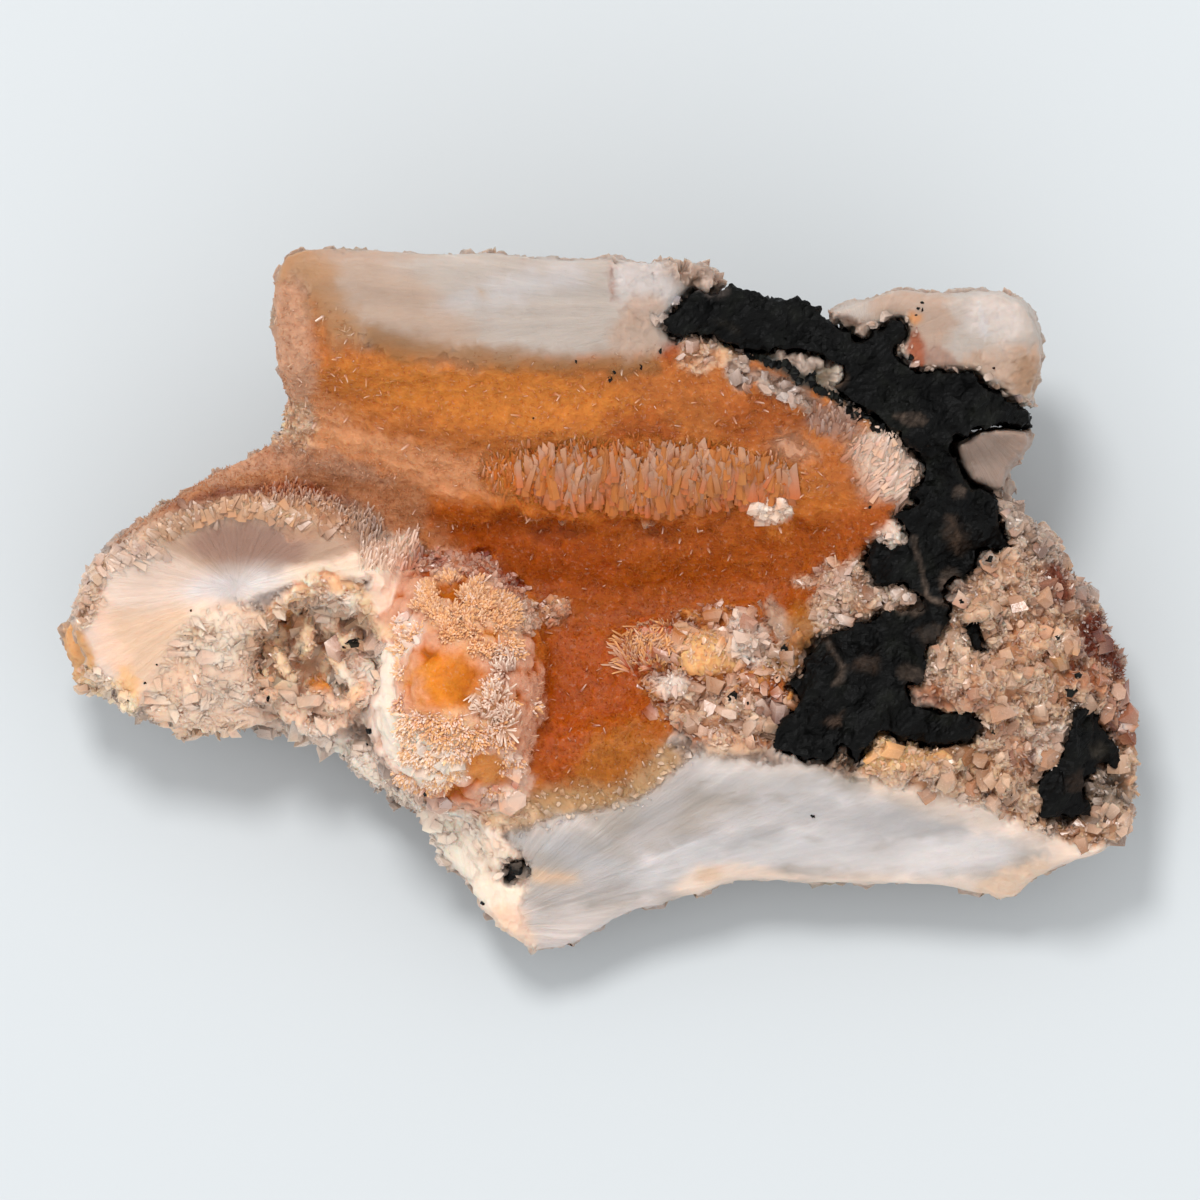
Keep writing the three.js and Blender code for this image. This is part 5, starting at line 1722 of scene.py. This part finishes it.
    def mesh_of(self, placed: np.ndarray, corners: np.ndarray, size: int) -> bpy.types.Mesh:
        """Joins the placed copies in one mesh.

        Args:
            placed: All vertices, in millimetres.
            corners: The triangles of one copy.
            size: The vertices of one copy.

        Returns:
            The mesh, in metres.
        """
        faces = (corners[None] + np.arange(self.count)[:, None, None] * size).reshape(-1, 3)
        mesh = bpy.data.meshes.new(self.name)
        mesh.vertices.add(len(placed))
        placed[:, 2] = np.maximum(placed[:, 2], 0.0)
        mesh.vertices.foreach_set("co", (placed * MM).astype(np.float32).ravel())
        mesh.loops.add(faces.size)
        mesh.loops.foreach_set("vertex_index", faces.astype(np.int32).ravel())
        mesh.polygons.add(len(faces))
        mesh.polygons.foreach_set("loop_start", np.arange(0, faces.size, 3, dtype=np.int32))
        mesh.update(calc_edges=True)
        mesh.shade_flat()
        return mesh


TUMBLE = {"lay": Lay.TUMBLED, "spread": 0.2, "sink": 0.5, "thin": (0.4, 0.95), "jitter": 0.1, "rare": 2.2}

# Every crop of needles and crystals, in the order that they are grown.
CROPS = [
    Crop("valley_needles", Habit.NEEDLE, ("valley", "valley_front", "valley_foot"), 5000, (0.1, 0.2),
          (0.2, 0.6), (P.PALISADE, P.PEACH, P.AMBER), 0.3, 1, spread=0.8, clump=0.5, seed=11,
          finish=NeedleFinish("valley_velvet", 0.5, 0.4)),
    Crop("slope_needles", Habit.SPLINTER, ("slope", "slope_glow"), 3000, (0.1, 0.26), (0.2, 0.5),
          (P.PEACH, P.PEACH_WHITE, P.SLOPE_ORANGE), 0.35, 1, spread=0.8, clump=0.3, rare=1.6, seed=12,
          finish=NeedleFinish("slope_velvet", 0.4, 0.4)),
    Crop("palisade_columns", Habit.COLUMN, ("palisade_heart",), 640, (0.35, 1.1), (1.6, 4),
          (P.BEIGE, P.PEACH_WHITE, P.PALISADE_TIP), 0.75, 0.95, Lay.ALONG, (0, 0.78, 0.62), 0.14, 0.5,
          clump=0.5, thin=(0.6, 0.9), flush=1, rare=1.3, seed=13,
          finish=CrystalFinish("palisade_prisms", 0.5, 0.5, 0.2, 0.05)),
    Crop("palisade_needles", Habit.SPLINTER, ("palisade",), 1200, (0.15, 0.4), (0.6, 1.8),
          (P.PALISADE_TIP, P.PEACH, P.SHELL), 0.45, 1, Lay.ALONG, (0, 0.78, 0.62), 0.25, 0.4, clump=0.4,
          seed=35, finish=NeedleFinish("palisade_velvet", 0.5, 0.4)),
    Crop("shoulder_needles", Habit.NEEDLE, ("shoulder",), 2200, (0.1, 0.2), (0.2, 0.6),
          (P.SHOULDER, P.PALISADE, P.PEACH), 0.3, 1, spread=0.8, clump=0.5, seed=14,
          finish=NeedleFinish("shoulder_velvet", 0.5, 0.4)),
    Crop("fringe_needles", Habit.SPLINTER, ("fringe",), 500, (0.15, 0.35), (0.6, 1.4),
          (P.BEIGE, P.PEACH, P.SHELL), 0.5, 0.95, Lay.ALONG, (0.1, 0.7, 0.7), 0.3, seed=32,
          finish=NeedleFinish("fringe_spray", 0.35, 0.35)),
    Crop("middle_ball_tufts", Habit.SPLINTER, ("middle_ball",), 4200, (0.2, 0.42), (0.4, 0.95),
          (P.CREAM_SOLID, P.SHELL_GOLD), 1, 1, Lay.RADIAL, (-12.1, -6.6, 12), 0.12, 0.3,
          thin=(0.6, 1), jitter=0.06, sheaf=42, fair=True, box=(-16.8, -16, -4, 4.5), seed=15,
          finish=NeedleFinish("ball_tufts", 0.45, 0.35)),
    Crop("middle_ball_crown", Habit.SPLINTER, ("middle_upper", "middle_velvet"), 2520, (0.2, 0.42),
          (0.4, 0.95), (P.HONEY_WHITE, P.SHELL_GOLD), 0.85, 1, Lay.RADIAL, (-12.1, -6.6, 12), 0.12, 0.3,
          sheaf=42, fair=True, thin=(0.6, 1), jitter=0.06, seed=40,
          finish=NeedleFinish("ball_crown", 0.45, 0.35)),
    Crop("middle_ball_tips", Habit.SPLINTER, ("middle_tips", "middle_east"), 600, (0.18, 0.36), (0.9, 2),
          (P.CREAM_SOLID,), 1.1, 1, Lay.FLAT_FAN, (-13, -6.6, 12), 0.15, 0.4, clump=0.4, sheaf=12,
          flush=0.85, seed=16, finish=NeedleFinish("ball_tips", 0.5, 0.35)),
    Crop("middle_ball_frost", Habit.PLATE, ("middle_frost", "middle_frost_east", "middle_knob"), 1100,
          (0.2, 0.8), (0.3, 0.9), (P.FROST, P.WHITE_BLUSH, P.SHELL), 0.5, 1, seed=17,
          finish=CrystalFinish("frost_crystals"), **TUMBLE),
    Crop("middle_ball_plates", Habit.PLATE, ("middle_plates", "middle_slab", "middle_block", "corner_white"),
          60, (0.7, 2.2), (0.8, 2), (P.SHELL, P.WHITE_BLUSH, P.GLINT), 0.5, 1, seed=36,
          finish=CrystalFinish("ball_plates", 0.2), **TUMBLE),
    Crop("left_ball_crest", Habit.SPLINTER, ("ball_fan_tan", "ball_west_rim"), 600, (0.25, 1.2), (0.6, 1.7),
          (P.BEIGE, P.SHELL, P.FAN_TAN), 0.5, 1, Lay.FLAT_FAN, (-30.2, 0.7, 12), 0.2, 0.55,
          thin=(0.5, 1), rare=1.8, seed=18, finish=CrystalFinish("crest_prisms", 0.35, 0.4, 0.2, 0.15)),
    Crop("left_ball_rim", Habit.PLATE, ("ball_crust", "ball_foot"), 320, (0.3, 1.2), (0.4, 1.2),
          (P.SHELL_PEACH, P.SHELL, P.PINK_WHITE), 0.45, 1, seed=19, finish=CrystalFinish("rim_crystals"),
          **TUMBLE),
    Crop("ledge_needles", Habit.SPLINTER, ("ball_ledge", "ball_fan"), 260, (0.2, 0.42), (1, 2.2),
          (P.SHELL, P.BEIGE, P.GLINT), 0.6, 1, Lay.ALONG, (0.15, 0.7, 0.75), 0.15,
          box=(-20, 2.5, -14, 8), seed=20, finish=NeedleFinish("ledge_spray", 0.35, 0.35)),
    Crop("left_front_blocks", Habit.BLOCK, ("ball_blocks", "ball_blocks_grey"), 130, (0.3, 1.3), (0.6, 2.6),
          (P.SHELL_WARM, P.SHELL, P.SHELL_PEACH), 0.4, 1, seed=21,
          finish=CrystalFinish("pale_blocks", 0.3, 0.75, 0.6), **TUMBLE),
    Crop("pocket_blades", Habit.BLOCK, ("pocket",), 120, (0.7, 2.8), (1, 2.7),
          (P.SHELL_WARM, P.SHELL, P.CREAM), 0.7, 1, flush=0.9, slot="pale_crystal", seed=22,
          finish=CrystalFinish("pocket_plates", 0.25, 0.75, 0.6),
          **TUMBLE | {"thin": (0.25, 0.6), "sink": 0.45}),
    Crop("flank_blocks", Habit.PLATE, ("flank", "corner_grey", "corner_cream"), 150, (0.3, 2), (0.3, 1.5),
          (P.FLANK, P.CREAM, P.WHITE_BLUSH), 0.45, 1, seed=23,
          finish=CrystalFinish("flank_crystals", 0.3, 0.65), **TUMBLE),
    Crop("cream_tufts", Habit.PLATE, ("tufts", "east_branch"), 260, (0.4, 2), (0.6, 2.2),
          (P.CREAM, P.SHELL, P.WHITE_BLUSH), 0.5, 1, seed=24, finish=CrystalFinish("tuft_blocks", 0.3),
          **TUMBLE | {"sink": 0.6}),
    Crop("tuft_needles", Habit.SPLINTER, ("tuft_fan",), 600, (0.15, 0.36), (1.2, 2.8),
          (P.SHELL_PEACH, P.SHELL_GOLD), 1, 1, Lay.FLAT_FAN, (6.2, -6.2, 13), 0.15, 0.4, seed=25,
          finish=NeedleFinish("tuft_spray", 0.5, 0.35)),
    Crop("white_druse", Habit.PLATE, ("east_druse", "east_pool", "crumbs_a", "crumbs_b", "crumbs_c"), 450,
          (0.25, 1.4), (0.3, 1.4), (P.WHITE_BLUSH, P.PINK_WHITE, P.GLINT), 0.5, 1, seed=26,
          finish=CrystalFinish("white_crystals"), **TUMBLE),
    Crop("vein_bristles", Habit.SPLINTER, ("vein_bristle", "vein_apron"), 650, (0.2, 0.6), (0.7, 2),
          (P.WHITE_BLUSH, P.GLINT, P.PINK_WHITE), 0.4, 1, Lay.FLAT_FAN, (17, 8, 14), 0.2, 0.55,
          clump=0.5, seed=33, finish=NeedleFinish("bristle_prisms", 0.35, 0.35)),
    Crop("pink_druse", Habit.PLATE, ("field", "field_rim", "field_south"), 700, (0.35, 2.1), (0.5, 1.9),
          (P.BLUSH_GREY, P.ROSE, P.BEIGE, P.WHITE_BLUSH, P.CREAM), 0.4, 1, seed=27,
          finish=CrystalFinish("pink_crystals", 0.25), **TUMBLE | {"sink": 0.62}),
    Crop("fine_druse", Habit.SPLINTER, ("ball_blocks", "pocket", "flank", "tufts", "east_druse",
          "east_branch", "field", "field_rim", "field_south", "ball_foot", "cliff_foot"), 9000, (0.15, 0.5),
          (0.3, 1), (P.SHELL, P.WHITE_BLUSH, P.CREAM, P.GLINT), 0.4, 1, Lay.TUMBLED, spread=0.2, sink=0.4,
          thin=(0.5, 1), clump=0.5, jitter=0.06, rare=1.5, seed=37,
          finish=CrystalFinish("fine_crystals", 0.25, 0.7)),
    Crop("contact_druse", Habit.PLATE, ("basin", "slope", "tufts", "east_druse", "east_branch", "east_pool",
          "field", "field_rim", "field_south", "vein_bristle", "vein_apron", "lump", "slab", "corner_cream",
          "corner_grey", "front_face", "field_east", "field_low_east"), 1500, (0.3, 1.1), (0.4, 1.2),
          (P.WHITE_BLUSH, P.SHELL, P.BEIGE), 0.7, 1, reach=0.9, seed=38,
          finish=CrystalFinish("contact_crystals"), **TUMBLE),
    Crop("outer_needles", Habit.NEEDLE, ("field_flank", "field_hollow"), 700, (0.12, 0.24), (0.3, 0.8),
          (P.ROSE, P.TERRACOTTA), 0.3, 1, spread=0.6, seed=28,
          finish=NeedleFinish("outer_velvet", 0.5, 0.4)),
    Crop("valley_cluster", Habit.PLATE, ("cluster",), 70, (0.4, 1.3), (0.4, 1.4), (P.WHITE_BLUSH, P.SHELL),
          0.6, 1, seed=29, finish=CrystalFinish("cluster_crystals"), **TUMBLE),
    Crop("rim_grains", Habit.PLATE, ("valley_rim", "valley_rim_gold", "field_strip"), 300, (0.15, 0.8),
          (0.2, 0.8), (P.HONEY_WHITE, P.SHELL, P.CREAM), 0.4, 1, seed=34, finish=CrystalFinish("rim_grain"),
          **TUMBLE),
    Crop("glints", Habit.SPLINTER, ("slope", "valley", "palisade", "valley_front"), 320, (0.12, 0.3),
          (0.4, 1.1), (P.CREAM_SOLID, P.SHELL_PEACH), 0.6, 1, spread=0.9, sink=0.1, rare=2, seed=30,
          finish=CrystalFinish("bright_grains", 0.2, coat=0.2, shine=0.3)),
]


@dataclass
class Chips(Crop):
    """Dark chips of basalt that lie at given places of the plan: x, y and size in millimetres."""

    spots: Sequence[tuple[float, float, float]] = ()

    def plant(self, skin: Skin, chart: Chart) -> bpy.types.Object:
        """Lays the chips on the surface.

        Args:
            skin: The surface that they lie on.
            chart: The plan of the zones, which they don't need.

        Returns:
            The piece.
        """
        dice = np.random.default_rng(self.seed)
        centres, slants = skin.centres(), skin.slants()
        upper = np.flatnonzero(slants[:, 2] > 0.05)
        found = []
        for x, y, _ in self.spots:
            gaps = np.hypot(centres[upper, 0] - x, centres[upper, 1] - y)
            near = upper[gaps < max(0.5, gaps.min() + 0.05)]
            found.append(near[np.argmax(centres[near, 2])])
        self.count = len(found)
        sizes = np.array([size for _, _, size in self.spots])
        ways = unit(slants[found] + dice.normal(0.0, self.spread, (self.count, 3)))
        black = np.tile(Pigment.BASALT.linear, (self.count, 1))
        heights = sizes * dice.uniform(0.35, 0.6, self.count)
        return self.grow(centres[found], slants[found], ways, sizes, heights, black, dice)


def chips() -> Chips:
    """The dark specks and chips, and the black stringer below the wall.

    Returns:
        The crop of them.
    """
    stringer = [(10.9, 21.7), (13.6, 20.1), (17.0, 18.2), (20.3, 16.5), (23.4, 14.7), (24.8, 14.4)]
    spots = [
        (1.0, 17.9, 0.8), (3.6, 18.9, 0.5), (5.1, 20.4, 0.6), (1.1, 18.5, 0.5), (-2.2, 19.5, 0.4),
        (-3.2, 11.6, 0.35), (-0.7, 11.3, 0.3), (1.2, 12.7, 0.3), (-5.5, 14.8, 0.3), (22.1, 7.6, 0.4),
        (-20.4, -4.0, 1.2), (-21.5, -4.4, 0.6), (-27.3, -8.5, 0.6), (-26.9, -6.4, 0.3), (-34.2, -1.2, 0.3),
        (-34.2, -3.2, 0.3), (-35.2, -4.5, 0.3), (-36.8, -5.8, 0.3), (-37.7, -7.3, 0.3), (-39.9, -8.2, 0.7),
        (-19.6, -10.7, 0.8), (-19.8, -12.3, 0.6), (-14.9, -16.4, 0.9), (-10.1, -25.6, 0.6),
        (10.9, -7.5, 1.3), (12.4, -10.2, 0.5), (13.2, -11.6, 0.5), (14.9, -3.9, 1.1), (14.3, -6.7, 0.8),
        (12.7, -8.6, 0.5), (8.6, -3.3, 0.3), (6.3, -5.4, 0.3), (17.4, -18.3, 0.4),
        (32.7, 3.2, 0.7), (30.4, 2.7, 1.3), (29.7, 0.2, 0.7), (38.4, -3.0, 0.8), (39.7, -5.9, 0.9),
        (39.1, -8.2, 1.0), (33.2, -11.2, 0.8), (26.8, 25.1, 0.4), (26.0, 24.4, 0.5), (26.5, 24.4, 0.3),
        (26.3, 23.2, 0.3), (32.6, 18.8, 0.4), (25.9, 19.7, 0.9),
    ]
    along = np.array(stringer)
    for index, (start, end) in enumerate(zip(along[:-1], along[1:])):
        for share in np.linspace(0, 1, 13)[:-1]:
            x, y = start + share * (end - start)
            spots.append((float(x), float(y) + 0.25 * math.sin(9.0 * (index + share)), 1.0))
    return Chips("dark_chips", Habit.CHUNK, (), 0, (0, 0), (0, 0), (P.BASALT, P.BASALT_GREEN), 1.0, 1.0,
                 spread=0.35, sink=0.35, thin=(0.5, 0.9), jitter=0.2, slot="basalt", seed=31, spots=spots,
                 finish=NeedleFinish("chip_rock", 0.5, 0.0))


# Studio.


@dataclass
class Studio:
    """The floor, the soft light from the back left and the camera straight above.

    frame_width, lens, sensor and focus_height are millimetres, and the other sizes metres.
    """

    frame_width: float = 100.0
    lens: float = 1200.0
    sensor: float = 36.0
    focus_height: float = 16.0
    key_way: tuple[float, float, float] = (-0.15, 0.43, 0.89)
    key_distance: float = 1.4
    key_size: float = 0.33
    key_power: float = 9.9
    sky_power: float = 0.925
    sky_colour: tuple[float, float, float, float] = (0.97, 0.985, 1.0, 1.0)
    floor_size: float = 3.0

    def floor(self) -> None:
        """Lays the floor."""
        body = bmesh.new()
        bmesh.ops.create_grid(body, x_segments=2, y_segments=2, size=self.floor_size)
        mesh = bpy.data.meshes.new("floor")
        body.to_mesh(mesh)
        body.free()
        put_in_scene("floor", mesh, FloorFinish().material())

    def lights(self) -> None:
        """Hangs the key light and sets the pale surroundings."""
        lamp = bpy.data.lights.new("key", "AREA")
        lamp.shape = "DISK"
        lamp.size = self.key_size
        lamp.energy = self.key_power
        key = bpy.data.objects.new("key", lamp)
        way = Vector(self.key_way).normalized()
        key.location = way * self.key_distance
        key.rotation_euler = way.to_track_quat("Z", "Y").to_euler()
        bpy.context.collection.objects.link(key)
        world = bpy.data.worlds.new("studio")
        world.use_nodes = True
        surroundings = world.node_tree.nodes["Background"]
        surroundings.inputs["Color"].default_value = self.sky_colour
        surroundings.inputs["Strength"].default_value = self.sky_power
        bpy.context.scene.world = world
        bpy.context.scene.view_settings.view_transform = "Standard"

    def camera(self) -> None:
        """Sets the camera straight above, at the photograph's framing."""
        eye = bpy.data.cameras.new("camera")
        eye.lens = self.lens
        eye.sensor_width = self.sensor
        distance = self.frame_width * MM * self.lens / self.sensor
        eye.clip_end = 4.0 * distance
        camera = bpy.data.objects.new("camera", eye)
        camera.location = (0.0, 0.0, distance + self.focus_height * MM)
        bpy.context.collection.objects.link(camera)
        bpy.context.scene.camera = camera

    def build(self) -> None:
        """Sets up the floor, the lights and the camera."""
        self.floor()
        self.lights()
        self.camera()


def main() -> None:
    """Builds the specimen's pieces and the studio, and reports each piece."""
    logging.basicConfig(level=logging.INFO, format="%(message)s")
    Studio().build()
    rock = BasaltFinish().material()
    rocks = []
    for name, node in (
        ("basalt_rock", "basalt_vein"),
        ("basalt_rock_right", "basalt_patch_right"),
        ("basalt_sliver_right", "basalt_chip_right"),
        ("basalt_square_front", "basalt_chip_front"),
    ):
        piece, skin = BasaltPiece(name, node, rock).build()
        rocks.append(skin)
        LOG.info("%s: %d faces", piece.name, len(piece.data.polygons))
    chart, contact = Chart(PLAN), Contact(rocks)
    skins = []
    grown = [
        GrownPiece("grown_mass", "thomsonite_mass", "thomsonite", chart, contact),
        GrownPiece("back_lump", "white_lump", "white_thomsonite", chart, contact, voxel=0.5, seed=8),
        GrownPiece("pocket_crust", "pocket_crystals", "pale_crystal", chart, contact, voxel=0.35, smoothing=4,
                   swell=0.1, block_height=0.35, pit_shade=-0.25, seed=9),
    ]
    for part in grown:
        piece, skin = part.build()
        skins.append(skin)
        LOG.info("%s: %d faces", piece.name, len(piece.data.polygons))
    ground = Skin.joined(skins)
    for crop in [*CROPS, chips()]:
        piece = crop.plant(ground, chart)
        LOG.info("%s: %d crystals, %d faces", piece.name, crop.count, len(piece.data.polygons))


if __name__ == "__main__":
    main()
